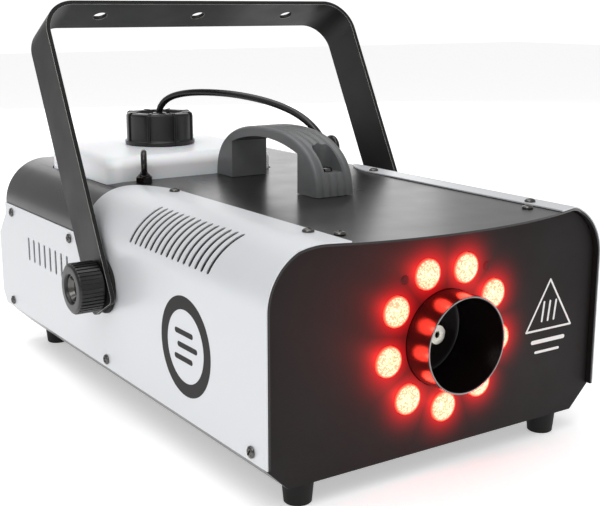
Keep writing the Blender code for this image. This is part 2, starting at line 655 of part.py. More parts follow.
def rear_controls():
    face = REAR_PLATE_BACK + REAR_PLATE
    simple("control_board", BOARD, block, (-104, -32), (382, 383.6), (64, 116))
    window = bmesh.new()
    block(window, (DISPLAY_X[0] + GAP, DISPLAY_X[1] - GAP), (386, face + 0.8),
          (DISPLAY_UP[0] + GAP, DISPLAY_UP[1] - GAP))
    piece("display_window", window, WINDOW)
    for label, x in BUTTON_X.items():
        bm = bmesh.new()
        stem = [(385.4, 2.0), (391.0, 2.0), (391.0, BUTTON_R), (face + 2.0, BUTTON_R),
                (face + 2.6, BUTTON_R - 0.7)]
        turned(bm, stem, "Y", (x, 0, BUTTON_UP), 12)
        piece(f"{label}_button", bm, BLACK_PLASTIC, origin=(x, face, BUTTON_UP))
    for label, x in zip(("dmx_in", "dmx_out"), SOCKET_X):
        square = rounded((x - 13, x + 13), (SOCKET_UP - 15.5, SOCKET_UP + 15.5), 2)
        flange = simple(label, BLACK_PLASTIC, prism, square, "Y", face + GAP, face + 2.2)
        barrel = bmesh.new()
        turned(barrel, [(372, SOCKET_R), (face + 1.5, SOCKET_R)], "Y", (x, 0, SOCKET_UP), 20)
        combine(flange, barrel, "UNION")
        mouth = bmesh.new()
        turned(mouth, [(382, 9.2), (face + 5, 9.2)], "Y", (x, 0, SOCKET_UP), 16)
        combine(flange, mouth, "DIFFERENCE")
    middle = sum(INLET_X) / 2
    inlet = simple("power_inlet", BLACK_PLASTIC, block, (INLET_X[0] - 3, INLET_X[1] + 3),
                   (face + GAP, face + 2.5), (INLET_UP[0] - 3, INLET_UP[1] + 3))
    body = bmesh.new()
    block(body, INLET_X, (364, face + 1.5), INLET_UP)
    combine(inlet, body, "UNION")
    recess = bmesh.new()
    block(recess, (middle - 11.5, middle + 11.5), (380, face + 9),
          (INLET_UP[0] + 3, INLET_UP[0] + 20))
    block(recess, (middle - 7, middle + 7), (378, face + 9), (ROCKER_UP - 11, ROCKER_UP + 11))
    combine(inlet, recess, "DIFFERENCE")
    rocker = bmesh.new()
    outline = [(face - 7, -8.8), (face + 3.6, -9.4), (face + 2.0, 0),
               (face + 3.6, 9.4), (face - 7, 8.8)]
    prism(rocker, [(back, ROCKER_UP + up) for back, up in outline], "X", middle - 6.6, middle + 6.6)
    origin = (middle, face - 4, ROCKER_UP)
    switch = piece("power_switch", rocker, BLACK_PLASTIC, origin=origin)
    switch.rotation_euler.x = math.radians(ROCKER_TILT)


base_tray()
front_panel()
rear_panel()
top_cover()
side_panel("left_side_panel", -1)
side_panel("right_side_panel", 1)
feet()
nozzle()
lamps()
heater()
pump()
tank()
cap()
hose()
handle()
yoke()
clamps()
safety_eyes()
rear_controls()
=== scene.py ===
# %% [markdown]
# # Fog machine
# A fog machine is a heater and a pump in a folded steel case. Fluid from a tank at the
# rear is pumped through a hot block and leaves the nozzle in front as fog, which a ring
# of lamps colours. This script dresses that model: it makes the fine surface of each
# piece and its finish, and never moves what the frame holds.

# %% Load the frame
import json
import math

import bmesh
import bpy
from mathutils import Matrix, Vector

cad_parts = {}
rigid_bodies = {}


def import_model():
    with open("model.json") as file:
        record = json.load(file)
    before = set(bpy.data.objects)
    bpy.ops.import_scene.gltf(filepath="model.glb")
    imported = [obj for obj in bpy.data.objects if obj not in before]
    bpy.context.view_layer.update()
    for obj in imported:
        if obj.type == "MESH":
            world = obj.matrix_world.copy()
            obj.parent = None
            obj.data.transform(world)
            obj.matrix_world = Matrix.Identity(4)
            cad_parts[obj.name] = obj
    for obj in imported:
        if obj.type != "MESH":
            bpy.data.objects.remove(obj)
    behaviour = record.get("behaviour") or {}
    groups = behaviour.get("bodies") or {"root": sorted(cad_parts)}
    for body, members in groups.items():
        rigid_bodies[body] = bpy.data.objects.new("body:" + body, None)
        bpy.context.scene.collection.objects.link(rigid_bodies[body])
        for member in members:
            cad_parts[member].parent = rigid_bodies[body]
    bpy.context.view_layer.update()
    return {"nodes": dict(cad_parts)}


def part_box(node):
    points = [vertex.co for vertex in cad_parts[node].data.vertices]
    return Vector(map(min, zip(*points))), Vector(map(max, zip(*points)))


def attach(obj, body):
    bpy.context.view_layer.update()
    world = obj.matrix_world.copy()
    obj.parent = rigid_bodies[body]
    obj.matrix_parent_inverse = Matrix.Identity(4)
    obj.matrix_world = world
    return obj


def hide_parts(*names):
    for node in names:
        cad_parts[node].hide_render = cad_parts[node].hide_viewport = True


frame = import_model()

# %% [markdown]
# ## Places and sizes
# Sheet-metal work is set out from edges, so a place here is (x, back, up) in
# millimetres: x from the middle plane, back from the front edge of the side panels, and
# up from the underside of the tray. The frame gives where those edges are.

# %% Sizes of the case
MM = 0.001
HALF_WIDTH = 125.0
REAR_TIP = 414.0
BOW = 20.5
BOW_HALF = 105.0
CHAMFER_X = 109.0
SIDE_BOTTOM = 15.6
SHOULDER_UP = 101.1
SHOULDER_R = 35.0
SHOULDER_X = HALF_WIDTH - SHOULDER_R
SKIN = 0.8
COVER = 1.2
GAP = 0.3
COVER_R = SHOULDER_R - SKIN - GAP
COVER_TOP = SHOULDER_UP + COVER_R
PLATE_R = COVER_R - COVER - 0.4
EDGE_X = 78.0
UPPER_REAR = 234.0
COVER_REAR = 397.0
AXIS_UP = 67.0
PIVOT_BACK, PIVOT_UP = 204.0, 74.0

rear_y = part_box("left_side_panel")[1][1]
tray_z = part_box("base_tray")[0][2]


def at(x, back, up):
    """A place on the case, in the frame's metres."""
    return Vector((x * MM, rear_y + (back - REAR_TIP) * MM, tray_z + up * MM))


def link(name, data):
    """A new object in the scene that shows this data."""
    obj = bpy.data.objects.new(name, data)
    bpy.context.scene.collection.objects.link(obj)
    return obj


print("front edge of the sides at y =", round(at(0, 0, 0).y, 5))

# %% [markdown]
# ## Camera
# A product is usually shown with a longer lens from a few steps away, so that its edges
# stay nearly parallel.

# %% Camera
camera_data = bpy.data.cameras.new("camera")
camera_data.lens = 64.87
camera_data.sensor_width = 36.0
camera_data.shift_x = 0.0025
camera_data.shift_y = 0.0015
camera = link("camera", camera_data)
camera.location = at(-404.9, -449.7, 254.0)
camera.rotation_euler = (math.radians(90 - 12.83), 0, math.radians(-33.69))
bpy.context.scene.camera = camera

# %% [markdown]
# ## Making meshes
# Nearly every part of the machine is one of two things: a flat outline carried along a
# straight line, as in folded and punched sheet, or a profile turned about an axis, as in
# knobs, tubes and screws. Two functions make them, and a third joins any list of rings.

# %% Outlines


def arc(cx, cy, radius, start, end, steps):
    """Points along an arc, angles in degrees."""
    turns = [math.radians(start + (end - start) * i / steps) for i in range(steps + 1)]
    return [(cx + radius * math.cos(t), cy + radius * math.sin(t)) for t in turns]


def rounded(x, y, radius, steps=8):
    """A rectangle with round corners."""
    points = []
    for cx, cy, start in ((x[1], y[1], 0), (x[0], y[1], 90), (x[0], y[0], 180), (x[1], y[0], 270)):
        inner_x = cx - radius if cx == x[1] else cx + radius
        inner_y = cy - radius if cy == y[1] else cy + radius
        points += arc(inner_x, inner_y, radius, start, start + 90, steps)
    return points


def mirrored(points):
    """The other half of an outline, in the order that joins it to the first."""
    return [(-x, y) for x, y in reversed(points)]


def beside(side, low, high):
    """A range of x on one side of the machine, lowest first."""
    return sorted((side * low, side * high))


# %% Solids


def skin(bm, rings, closed=False):
    """Join rings of places into a skin; a ring of one place is a point on the axis."""
    made = [[bm.verts.new(place) for place in ring] for ring in rings]
    faces = []
    pairs = list(zip(made, made[1:] + made[:1]))
    for low, high in pairs if closed else pairs[:-1]:
        count = max(len(low), len(high))
        for i in range(count):
            j = (i + 1) % count
            corners = [low[i % len(low)], low[j % len(low)], high[j % len(high)], high[i % len(high)]]
            faces.append(bm.faces.new(list(dict.fromkeys(corners))))
    if not closed:
        faces += [bm.faces.new(ring) for ring in (made[0], made[-1]) if len(ring) > 2]
    bmesh.ops.recalc_face_normals(bm, faces=faces)


def prism(bm, outline, axis, low, high):
    """Carry an outline along an axis: X takes (back, up), Y (x, up), Z (x, back)."""
    order = {
        "X": lambda u, v, a: (a, u, v),
        "Y": lambda u, v, a: (u, a, v),
        "Z": lambda u, v, a: (u, v, a),
    }[axis]
    skin(bm, [[at(*order(u, v, a)) for u, v in outline] for a in (low, high)])


def block(bm, x, back, up):
    """A box between two places on each axis."""
    prism(bm, [(x[0], back[0]), (x[1], back[0]), (x[1], back[1]), (x[0], back[1])], "Z", *up)


def turned(bm, profile, axis, centre, steps=64, closed=False):
    """Turn a profile of (along, radius) about an axis through centre."""
    rings = []
    for along, radius in profile:
        ring = []
        for i in range(steps if radius > 0 else 1):
            turn = 2 * math.pi * i / steps
            u, v = radius * math.cos(turn), radius * math.sin(turn)
            offset = {"X": (along, u, v), "Y": (u, along, v), "Z": (u, v, along)}[axis]
            ring.append(at(*(c + o for c, o in zip(centre, offset))))
        rings.append(ring)
    skin(bm, rings, closed)


# %% [markdown]
# ## From a rough solid to a finished piece
# Pressed and moulded parts have no knife edges. Each solid is cut with Booleans where
# the real one is punched, then a narrow bevel breaks its edges and weighted normals keep
# its flats flat. The result is stored as a plain mesh, so nothing live is left.

# %% Finishing helpers


def solid(name, build=None, *args, **kwargs):
    """An object from a shape function or from a finished bmesh."""
    bm = build if isinstance(build, bmesh.types.BMesh) else bmesh.new()
    if bm is not build:
        build(bm, *args, **kwargs)
    mesh = bpy.data.meshes.new(name)
    bm.to_mesh(mesh)
    bm.free()
    return link(name, mesh)


def plain(obj):
    """Store what the object's modifiers make as its mesh, and remove them."""
    graph = bpy.context.evaluated_depsgraph_get()
    mesh = bpy.data.meshes.new_from_object(obj.evaluated_get(graph))
    obj.modifiers.clear()
    obj.data = mesh
    mesh.name = obj.name
    return obj


def carve(obj, guide, operation="DIFFERENCE"):
    """Cut a guide out of a piece, or join it to the piece, and remove the guide."""
    modifier = obj.modifiers.new("carve", "BOOLEAN")
    modifier.operation = operation
    modifier.solver = "EXACT"
    modifier.object = guide
    plain(obj)
    bpy.data.objects.remove(guide)
    return obj


def punch(obj, build, *args, **kwargs):
    """Cut a shape out of a piece."""
    return carve(obj, solid("cut", build, *args, **kwargs))


def fused(name, parts):
    """Join overlapping parts into one piece."""
    piece = parts[0]
    piece.name = name
    for part in parts[1:]:
        carve(piece, part, "UNION")
    return piece


def turn_about(obj, place, degrees, axis):
    """Turn a piece's mesh about a place of the case."""
    pivot = at(*place)
    turn = Matrix.Rotation(math.radians(degrees), 4, axis)
    obj.data.transform(Matrix.Translation(pivot) @ turn @ Matrix.Translation(-pivot))


def smooth(obj, angle):
    """Shade a piece smooth, and sharp where it bends by more than the angle."""
    obj.data.shade_smooth()
    obj.data.set_sharp_from_angle(angle=math.radians(angle))


def soften(obj, width, segments=2, angle=40, edge_slot=-1):
    """Break the edges with a narrow bevel, in the edge_slot finish if one is given, and keep flats
    flat.
    """
    if width:
        bevel = obj.modifiers.new("bevel", "BEVEL")
        bevel.width = width * MM
        bevel.segments = segments
        bevel.limit_method = "ANGLE"
        bevel.angle_limit = math.radians(angle)
        bevel.material = edge_slot
        plain(obj)
    smooth(obj, angle)
    obj.modifiers.new("normals", "WEIGHTED_NORMAL").keep_sharp = True
    return plain(obj)


def dress(obj, mat, body="housing", nodes=()):
    """Give a piece its finish and the body it rides on, and hide the nodes it stands for."""
    if not obj.data.materials:
        obj.data.materials.append(mat)
    else:
        obj.data.materials[0] = mat
    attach(obj, body)
    if nodes:
        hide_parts(*nodes)
    return obj

# %% [markdown]
# ## Geometry Nodes for what repeats
# Slots, ribs and screws repeat, so each comes from a small node tree: one repeats a
# shape along a line, one repeats it round an axis, and one stands it on marked places.
# Each tree realizes its instances and sets their material.

# %% One function that adds a node


def add(tree, kind, inputs=None, **settings):
    """Add a node with its settings; an input is a value or another node's socket."""
    node = tree.nodes.new(kind)
    for key, value in settings.items():
        setattr(node, key, value)
    for socket, value in (inputs or {}).items():
        if isinstance(value, bpy.types.NodeSocket):
            tree.links.new(value, node.inputs[socket])
        else:
            node.inputs[socket].default_value = value
    return node


# %% Trees


def new_tree(name, sockets):
    """A geometry tree with a geometry input and output and the named inputs."""
    tree = bpy.data.node_groups.new(name, "GeometryNodeTree")
    tree.interface.new_socket("Geometry", in_out="INPUT", socket_type="NodeSocketGeometry")
    tree.interface.new_socket("Geometry", in_out="OUTPUT", socket_type="NodeSocketGeometry")
    for label, kind in sockets:
        tree.interface.new_socket(label, in_out="INPUT", socket_type="NodeSocket" + kind)
    return tree, tree.nodes.new("NodeGroupInput")


def close_tree(tree, entry, instances):
    """End a tree in Realize Instances and Set Material."""
    real = add(tree, "GeometryNodeRealizeInstances", {"Geometry": instances})
    painted = add(tree, "GeometryNodeSetMaterial",
                  {"Geometry": real.outputs[0], "Material": entry.outputs["Material"]})
    add(tree, "NodeGroupOutput", {"Geometry": painted.outputs[0]})
    return tree


def row_tree():
    """Repeats the piece in a straight row."""
    tree, entry = new_tree("repeat in a row",
                           [("Count", "Int"), ("Step", "Vector"), ("Material", "Material")])
    line = add(tree, "GeometryNodeMeshLine",
               {"Count": entry.outputs["Count"], "Offset": entry.outputs["Step"]})
    copies = add(tree, "GeometryNodeInstanceOnPoints",
                 {"Points": line.outputs[0], "Instance": entry.outputs["Geometry"]})
    return close_tree(tree, entry, copies.outputs[0])


def ring_tree():
    """Repeats the piece, which is made about the origin, round an axis through a centre."""
    tree, entry = new_tree("repeat round an axis", [("Count", "Int"), ("Centre", "Vector"),
                                                    ("Axis", "Vector"), ("Material", "Material")])
    points = add(tree, "GeometryNodeMeshLine", {"Count": entry.outputs["Count"], "Offset": (0, 0, 0),
                                                "Start Location": entry.outputs["Centre"]})
    index = add(tree, "GeometryNodeInputIndex")
    share = add(tree, "ShaderNodeMath", {0: index.outputs[0], 1: entry.outputs["Count"]},
                operation="DIVIDE")
    angle = add(tree, "ShaderNodeMath", {0: share.outputs[0], 1: 2 * math.pi}, operation="MULTIPLY")
    turn = add(tree, "FunctionNodeAxisAngleToRotation",
               {"Axis": entry.outputs["Axis"], "Angle": angle.outputs[0]})
    copies = add(tree, "GeometryNodeInstanceOnPoints",
                 {"Points": points.outputs[0], "Instance": entry.outputs["Geometry"],
                  "Rotation": turn.outputs[0]})
    return close_tree(tree, entry, copies.outputs[0])


def screw_tree():
    """Stands a part on marked places, along each place's facing direction."""
    tree, entry = new_tree("parts on places", [("Part", "Object"), ("Material", "Material")])
    part = add(tree, "GeometryNodeObjectInfo", {"Object": entry.outputs["Part"]})
    facing = add(tree, "GeometryNodeInputNamedAttribute", {"Name": "facing"}, data_type="FLOAT_VECTOR")
    spin = add(tree, "GeometryNodeInputNamedAttribute", {"Name": "spin"}, data_type="FLOAT")
    upright = add(tree, "FunctionNodeAlignRotationToVector", {"Vector": facing.outputs[0]}, axis="Z")
    twist = add(tree, "FunctionNodeAxisAngleToRotation", {"Axis": (0, 0, 1), "Angle": spin.outputs[0]})
    both = add(tree, "FunctionNodeRotateRotation",
               {"Rotation": upright.outputs[0], "Rotate By": twist.outputs[0]}, rotation_space="LOCAL")
    copies = add(tree, "GeometryNodeInstanceOnPoints",
                 {"Points": entry.outputs["Geometry"], "Instance": part.outputs["Geometry"],
                  "Rotation": both.outputs[0]})
    return close_tree(tree, entry, copies.outputs[0])


def grow(obj, tree, **values):
    """Run a tree on an object with its named inputs and keep the plain result."""
    modifier = obj.modifiers.new(tree.name, "NODES")
    modifier.node_group = tree
    for item in tree.interface.items_tree:
        if item.name in values:
            modifier[item.identifier] = values[item.name]
    return plain(obj)


ROW, RING, PLACES = row_tree(), ring_tree(), screw_tree()

# %% [markdown]
# ## Finishes
# Most surfaces here are real finishes: powder coat on steel, moulded plastics, zinc
# plate, rubber. A finish starts from its typical colour and gloss, and gets the relief
# its making leaves, drawn at the size it has in millimetres. The light edge and rim
# finishes paint highlights, and the front plate's coat paints a red halo.

# %% Colours


def srgb(text, alpha=1.0):
    """A hex colour as seen on a screen, turned to the linear values a shader reads."""
    parts = [int(text[i:i + 2], 16) / 255 for i in (1, 3, 5)]
    linear = [p / 12.92 if p <= 0.04045 else ((p + 0.055) / 1.055) ** 2.4 for p in parts]
    return (*linear, alpha)


# %% A finish with its relief


def finish(name, colour, roughness, metallic=0.0, grain=0.0, depth=0.0, shade=0.0, blotch=30.0,
           gloss_swing=0.0, stretch=(1, 1, 1), **sockets):
    """A finish. grain and depth are the relief's size and height in millimetres; shade
    and gloss_swing are how far its colour and roughness drift over a blotch's size."""
    mat = bpy.data.materials.new(name)
    mat.use_nodes = True
    tree = mat.node_tree
    shader = tree.nodes["Principled BSDF"]
    shader.inputs["Base Color"].default_value = srgb(colour)
    shader.inputs["Roughness"].default_value = roughness
    shader.inputs["Metallic"].default_value = metallic
    for label, value in sockets.items():
        shader.inputs[label.replace("_", " ")].default_value = value
    where = add(tree, "ShaderNodeTexCoord").outputs["Object"]
    drift = add(tree, "ShaderNodeTexNoise", {"Vector": where, "Scale": 1000 / blotch, "Detail": 3.0})

    def swing(middle, reach):
        """A value that drifts by reach on both sides of its middle."""
        return add(tree, "ShaderNodeMapRange",
                   {"Value": drift.outputs[0], "From Min": 0.3, "From Max": 0.7,
                    "To Min": middle - reach, "To Max": middle + reach}).outputs[0]

    if shade:
        tinted = add(tree, "ShaderNodeHueSaturation", {"Color": srgb(colour), "Value": swing(1, shade)})
        tree.links.new(tinted.outputs[0], shader.inputs["Base Color"])
    if gloss_swing:
        tree.links.new(swing(roughness, gloss_swing), shader.inputs["Roughness"])
    if grain:
        stretched = add(tree, "ShaderNodeMapping", {"Vector": where, "Scale": stretch})
        relief = add(tree, "ShaderNodeTexNoise",
                     {"Vector": stretched.outputs[0], "Scale": 1000 / grain, "Detail": 2.0,
                      "Roughness": 0.6})
        bump = add(tree, "ShaderNodeBump",
                   {"Height": relief.outputs[0], "Strength": 0.8, "Distance": depth * MM})
        tree.links.new(bump.outputs[0], shader.inputs["Normal"])
    return mat


# %% [markdown]
# Powder coat is baked plastic dust. On the cover it flows out to a satin skin with a
# faint orange peel, and on the front plate it is left coarser, so that heat marks show
# less. The silver is the same paint with fine metal flake in it.

# %% Powder coats
satin_black = finish("satin black powder coat", "#171515", 0.3, grain=1.6, depth=0.012, shade=0.06,
                     gloss_swing=0.03, Specular_IOR_Level=0.35, Coat_Weight=0.3, Coat_Roughness=0.22)
textured_black = finish("fine textured black powder coat", "#131010", 0.56, grain=0.8, depth=0.05,
                        shade=0.12,
                        gloss_swing=0.05, Specular_IOR_Level=0.25)
silver_coat = finish("silver powder coat", "#CFD1D4", 0.36, metallic=0.25, grain=0.9, depth=0.006,
                     shade=0.012,
                     gloss_swing=0.03, blotch=60)
yoke_coat = finish("yoke powder coat", "#141513", 0.45, grain=0.9, depth=0.03, shade=0.08,
                   gloss_swing=0.05,
                   Specular_IOR_Level=0.28)
# Two light finishes paint highlights: one along the yoke's bevelled edges and one on the nozzle tube's
# rim.
edge_highlight_paint = finish("coat worn thin along the edge", "#C9C9C5", 0.34, metallic=0.3, grain=0.8,
                   depth=0.03,
                   shade=0.2, blotch=9)
rim_highlight_paint = finish("coat worn thin on the tube's rim", "#8E8A88", 0.34, metallic=0.5, grain=0.8,
                  depth=0.03,
                  shade=0.2, blotch=9)

# %% [markdown]
# The plastics differ in gloss. ABS comes out of a polished mould fairly smooth, glass
# filled nylon is duller and slightly streaked, polyethylene is waxy and lets light into
# its wall, and flexible PVC is shiny.

# %% Plastics and rubber
black_abs = finish("black moulded ABS", "#131313", 0.33, grain=0.7, depth=0.01, shade=0.06,
                   gloss_swing=0.04)
grey_nylon = finish("dark grey glass filled nylon", "#5C5D5E", 0.38, grain=0.6, depth=0.03, shade=0.09,
                    gloss_swing=0.06, blotch=12)
waxy_tank = finish("natural polyethylene", "#F3F6FA", 0.36, grain=6.0, depth=0.05, shade=0.01,
                   blotch=45,
                   Subsurface_Weight=0.35, Subsurface_Scale=0.01)
glossy_pvc = finish("black flexible PVC", "#131313", 0.24, grain=1.5, depth=0.008, shade=0.05,
                    gloss_swing=0.05)
black_rubber = finish("black rubber", "#100F0E", 0.66, grain=0.5, depth=0.03, shade=0.1,
                      Specular_IOR_Level=0.3)
red_filter = finish("dark red display filter", "#22060A", 0.12, grain=5.0, depth=0.002, shade=0.05)
glossy_enamel = finish("gloss black enamel", "#120A0A", 0.2, grain=4.0, depth=0.01, shade=0.05,
                       gloss_swing=0.04)

# %% Metals and inner parts
screw_steel = finish("black nickel plated steel", "#5C5B59", 0.2, metallic=1.0, grain=0.25, depth=0.004,
                     shade=0.1, gloss_swing=0.05, blotch=3)
zinc_plate = finish("zinc plated steel", "#C2C3C2", 0.26, metallic=1.0, grain=0.25, depth=0.004,
                    shade=0.06,
                    gloss_swing=0.06, blotch=3)
nickel_brass = finish("nickel plated brass", "#D2CEC4", 0.24, metallic=1.0, grain=0.3, depth=0.004,
                      shade=0.05,
                      gloss_swing=0.05, blotch=5)
contact_brass = finish("contact brass", "#C9A25A", 0.28, metallic=1.0, shade=0.05, blotch=3)
cast_aluminium = finish("cast aluminium", "#A9ABAC", 0.5, metallic=1.0, grain=1.2, depth=0.05,
                        shade=0.08,
                        gloss_swing=0.08)
circuit_green = finish("green solder mask", "#0F4A2A", 0.35, grain=2.0, depth=0.01, shade=0.08,
                       blotch=4)
mineral_wool = finish("mineral wool", "#3B3833", 0.92, grain=1.2, depth=0.5, shade=0.1,
                      stretch=(1, 0.2, 1),
                      blotch=8, Sheen_Weight=0.3)
white_ink = finish("white screen ink", "#E9E7E6", 0.5, grain=0.3, depth=0.004, shade=0.03, blotch=5)
dark_ink = finish("charcoal screen ink", "#171312", 0.55, grain=0.3, depth=0.004, shade=0.04, blotch=5,
                  Specular_IOR_Level=0.25)
print(len(bpy.data.materials), "materials")

# %% [markdown]
# A lit lamp is far brighter than what it stands on, so its middle burns out to a warm
# white while its rim stays red. The emission is one deep red everywhere, strongest in
# the middle, and the facets of the lens behind the dome break it up.

# %% Lit lamp lens


def lit_lens():
    mat = bpy.data.materials.new("lit polycarbonate lens")
    mat.use_nodes = True
    tree = mat.node_tree
    shader = tree.nodes["Principled BSDF"]
    shader.inputs["Base Color"].default_value = srgb("#F0602C")
    shader.inputs["Roughness"].default_value = 0.12
    glow = add(tree, "ShaderNodeAttribute", attribute_name="glow")
    where = add(tree, "ShaderNodeTexCoord").outputs["Object"]
    facets = add(tree, "ShaderNodeTexVoronoi", {"Vector": where, "Scale": 1000 / 1.1}, feature="F1")
    broken = add(tree, "ShaderNodeMapRange", {"Value": facets.outputs["Distance"], "From Max": 0.7,
                                              "To Min": 1.25, "To Max": 0.3})
    power = add(tree, "ShaderNodeMath", {0: glow.outputs["Fac"], 1: broken.outputs[0]},
                operation="MULTIPLY")
    strength = add(tree, "ShaderNodeMapRange",
                   {"Value": power.outputs[0], "To Min": 1.4, "To Max": 26.0, "From Max": 1.0})
    tree.links.new(strength.outputs[0], shader.inputs["Emission Strength"])
    shader.inputs["Emission Color"].default_value = (1.0, 0.056, 0.036, 1.0)
    return mat


lamp_glow = lit_lens()

# %% [markdown]
# The red halo that fades out from every lens over about two centimetres is painted
# light: the coat's finish glows by itself, standing in for lamp light that the coat
# scatters back. The finish folds the whole ring of lamps into one sector, measures how
# far each point is from that sector's lamp and glows by it.

# %% Coat with a painted red halo round the lamps
LAMP_COUNT, LAMP_CIRCLE, LAMP_R = 9, 42.3, 9.15
HALO, HALO_FALL, HALO_GLOW = 32.0, 6.0, 0.62


def painted_halo_coat():
    mat = textured_black.copy()
    mat.name = "textured coat round the lamps"
    tree = mat.node_tree
    shader = tree.nodes["Principled BSDF"]

    def sums(operation, first, second):
        return add(tree, "ShaderNodeMath", {0: first, 1: second}, operation=operation).outputs[0]

    where = add(tree, "ShaderNodeTexCoord").outputs["Object"]
    axis = at(0, 0, AXIS_UP)
    place = add(tree, "ShaderNodeSeparateXYZ", {"Vector": where})
    across, rise = sums("SUBTRACT", place.outputs["X"], axis.x), sums("SUBTRACT", place.outputs["Z"],
                                                                      axis.z)
    reach = sums("SQRT", sums("ADD", sums("MULTIPLY", across, across), sums("MULTIPLY", rise, rise)),
                 0.0)
    sector = 2 * math.pi / LAMP_COUNT
    turn = sums("ARCTAN2", rise, across)
    share = sums("ADD", sums("DIVIDE", sums("ADD", turn, math.pi / 2), sector), LAMP_COUNT + 0.5)
    folded = sums("MULTIPLY", sums("SUBTRACT", sums("FRACT", share, 0.0), 0.5), sector)
    circle = LAMP_CIRCLE * MM
    along = sums("SUBTRACT", sums("MULTIPLY", reach, sums("COSINE", folded, 0.0)), circle)
    beside = sums("MULTIPLY", reach, sums("SINE", folded, 0.0))
    squares = sums("ADD", sums("MULTIPLY", along, along), sums("MULTIPLY", beside, beside))
    distance = sums("SQRT", squares, 0.0)
    left = add(tree, "ShaderNodeMapRange", {"Value": distance, "From Min": LAMP_R * MM,
                                            "From Max": (LAMP_R + HALO) * MM, "To Min": 1.0,
                                            "To Max": 0.0})
    halo = sums("MULTIPLY", sums("POWER", left.outputs[0], HALO_FALL), HALO_GLOW)
    # Painted light: the coat's emission draws the red halo round each lamp.
    tree.links.new(halo, shader.inputs["Emission Strength"])
    shader.inputs["Emission Color"].default_value = (1.0, 0.001, 0.008, 1.0)
    return mat


black_with_painted_halo = painted_halo_coat()

# %% [markdown]
# ## The hose
# A 5 mm PVC hose carries fluid from the tank cap over the case into the pump. It is cut
# just long enough for the cap to be unscrewed, so it stands in a low arch. Its route is
# a smooth curve through a few chosen points.

# %% Hose
HOSE_R = 2.5
CAP_X, CAP_BACK = -33.0, 300.0
HOSE_IN = (28.0, 158.0)
HOSE_ROUTE = [
    (CAP_X, CAP_BACK, 174.5), (CAP_X, CAP_BACK, 177.5), (-31.2, 296.4, 183.6), (-27.6, 288.5, 188.6),
    (-21.5, 275, 191.8), (-13, 256, 193), (-3, 233, 192.2), (8, 208, 188.4), (17, 187, 181.6),
    (23, 172, 171.6), (26.8, 162, 158), (*HOSE_IN, 146), (*HOSE_IN, 138.2),
]


def smooth_path(points, spacing):
    """A smooth curve through the points, with a point about every spacing."""
    points = [Vector(p) for p in points]
    ends = [points[0] * 2 - points[1]] + points + [points[-1] * 2 - points[-2]]
    path = []
    for a, b, c, d in zip(ends, ends[1:], ends[2:], ends[3:]):
        spans = max(1, round((c - b).length / spacing))
        for i in range(spans):
            t = i / spans
            bend = (2 * a - 5 * b + 4 * c - d) * t**2 + (3 * b - a - 3 * c + d) * t**3
            path.append(0.5 * (2 * b + (c - a) * t + bend))
    return path + [points[-1]]


def hose():
    path = [at(*place) for place in smooth_path(HOSE_ROUTE, 3.0)]
    curve = bpy.data.curves.new("fluid_hose", "CURVE")
    curve.dimensions = "3D"
    curve.bevel_depth = HOSE_R * MM
    curve.bevel_resolution = 6
    curve.use_fill_caps = True
    spline = curve.splines.new("POLY")
    spline.points.add(len(path) - 1)
    for knot, place in zip(spline.points, path):
        knot.co = (*place, 1.0)
    spline.use_smooth = True
    curve.materials.append(glossy_pvc)
    obj = link("fluid_hose", curve)
    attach(obj, "housing")
    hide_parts("suction_hose")


hose()

# %% [markdown]
# ## Side panels
# Each side is one sheet of 0.8 mm steel, rolled over the shoulder, laser cut to the
# curve of the front edge and punched with cooling slots. It is built the same way: the
# bent sheet is a prism, and the cuts are Booleans. Behind the yoke the sheet stops at
# the shoulder, where the black cover shows.

# %% Cutting guides
TOP_SLOTS, TOP_SLOT_FIRST, TOP_SLOT_PITCH = 15, 58.5, 7.14
SLOT_ARC, SLOT_LEAN = (14.0, 63.5), 11.0
REAR_SLOTS, REAR_SLOT_FIRST, REAR_SLOT_PITCH = 8, 269.0, 11.06
REAR_SLOT_UP = (62.5, 81.0)
CURVE_STEPS = 40


def shoulder(radius):
    """The right shoulder's arc, from the side to the top."""
    return arc(SHOULDER_X, SHOULDER_UP, radius, 0, 90, CURVE_STEPS)


def front_bow(margin=10):
    """Plan outline of all that lies in front of the bowed front edge."""
    radius = (BOW_HALF**2 + BOW**2) / (2 * BOW)
    reach = math.degrees(math.asin(BOW_HALF / radius))
    edge = arc(0, radius - BOW, radius, -90 - reach, -90 + reach, 48)
    wide = HALF_WIDTH + margin
    return [(-wide, 0)] + edge + [(wide, 0), (wide, -BOW - margin), (-wide, -BOW - margin)]


def curved_slot(side):
    """One round-ended slot over the shoulder, which leans forward as it rises."""
    half = 1.5
    end = math.degrees(half / SHOULDER_R)
    low, high = SLOT_ARC
    caps = [(end * (1 - math.cos(t)), half * math.sin(t)) for t in (0.15, 0.6, 1.05, math.pi / 2)]
    stations = [(low + along, wide) for along, wide in caps]
    stations += [(low + end + (high - low - 2 * end) * i / 12, half) for i in range(1, 12)]
    stations += [(high - along, wide) for along, wide in reversed(caps)]
    rings = []
    for angle, wide in stations:
        t = math.radians(angle)
        middle = TOP_SLOT_FIRST + SLOT_LEAN * (0.45 - (angle - low) / (high - low))
        corners = [(30, -wide), (30, wide), (40, wide), (40, -wide)]
        rings.append([at(side * (SHOULDER_X + r * math.cos(t)), middle + w,
                         SHOULDER_UP + r * math.sin(t)) for r, w in corners])
    bm = bmesh.new()
    skin(bm, rings)
    guide = solid("slot", bm)
    return grow(guide, ROW, Count=TOP_SLOTS, Step=(0, TOP_SLOT_PITCH * MM, 0))


def straight_slot(side):
    """One round-ended slot in the flat side at the rear."""
    half = 1.7
    low, high = REAR_SLOT_UP
    outline = arc(REAR_SLOT_FIRST, high - half, half, 0, 180, 8) + arc(
        REAR_SLOT_FIRST, low + half, half, 180, 360, 8)
    guide = solid("slot", prism, outline, "X", *beside(side, 118, 130))
    return grow(guide, ROW, Count=REAR_SLOTS, Step=(0, REAR_SLOT_PITCH * MM, 0))


# %% Side panels


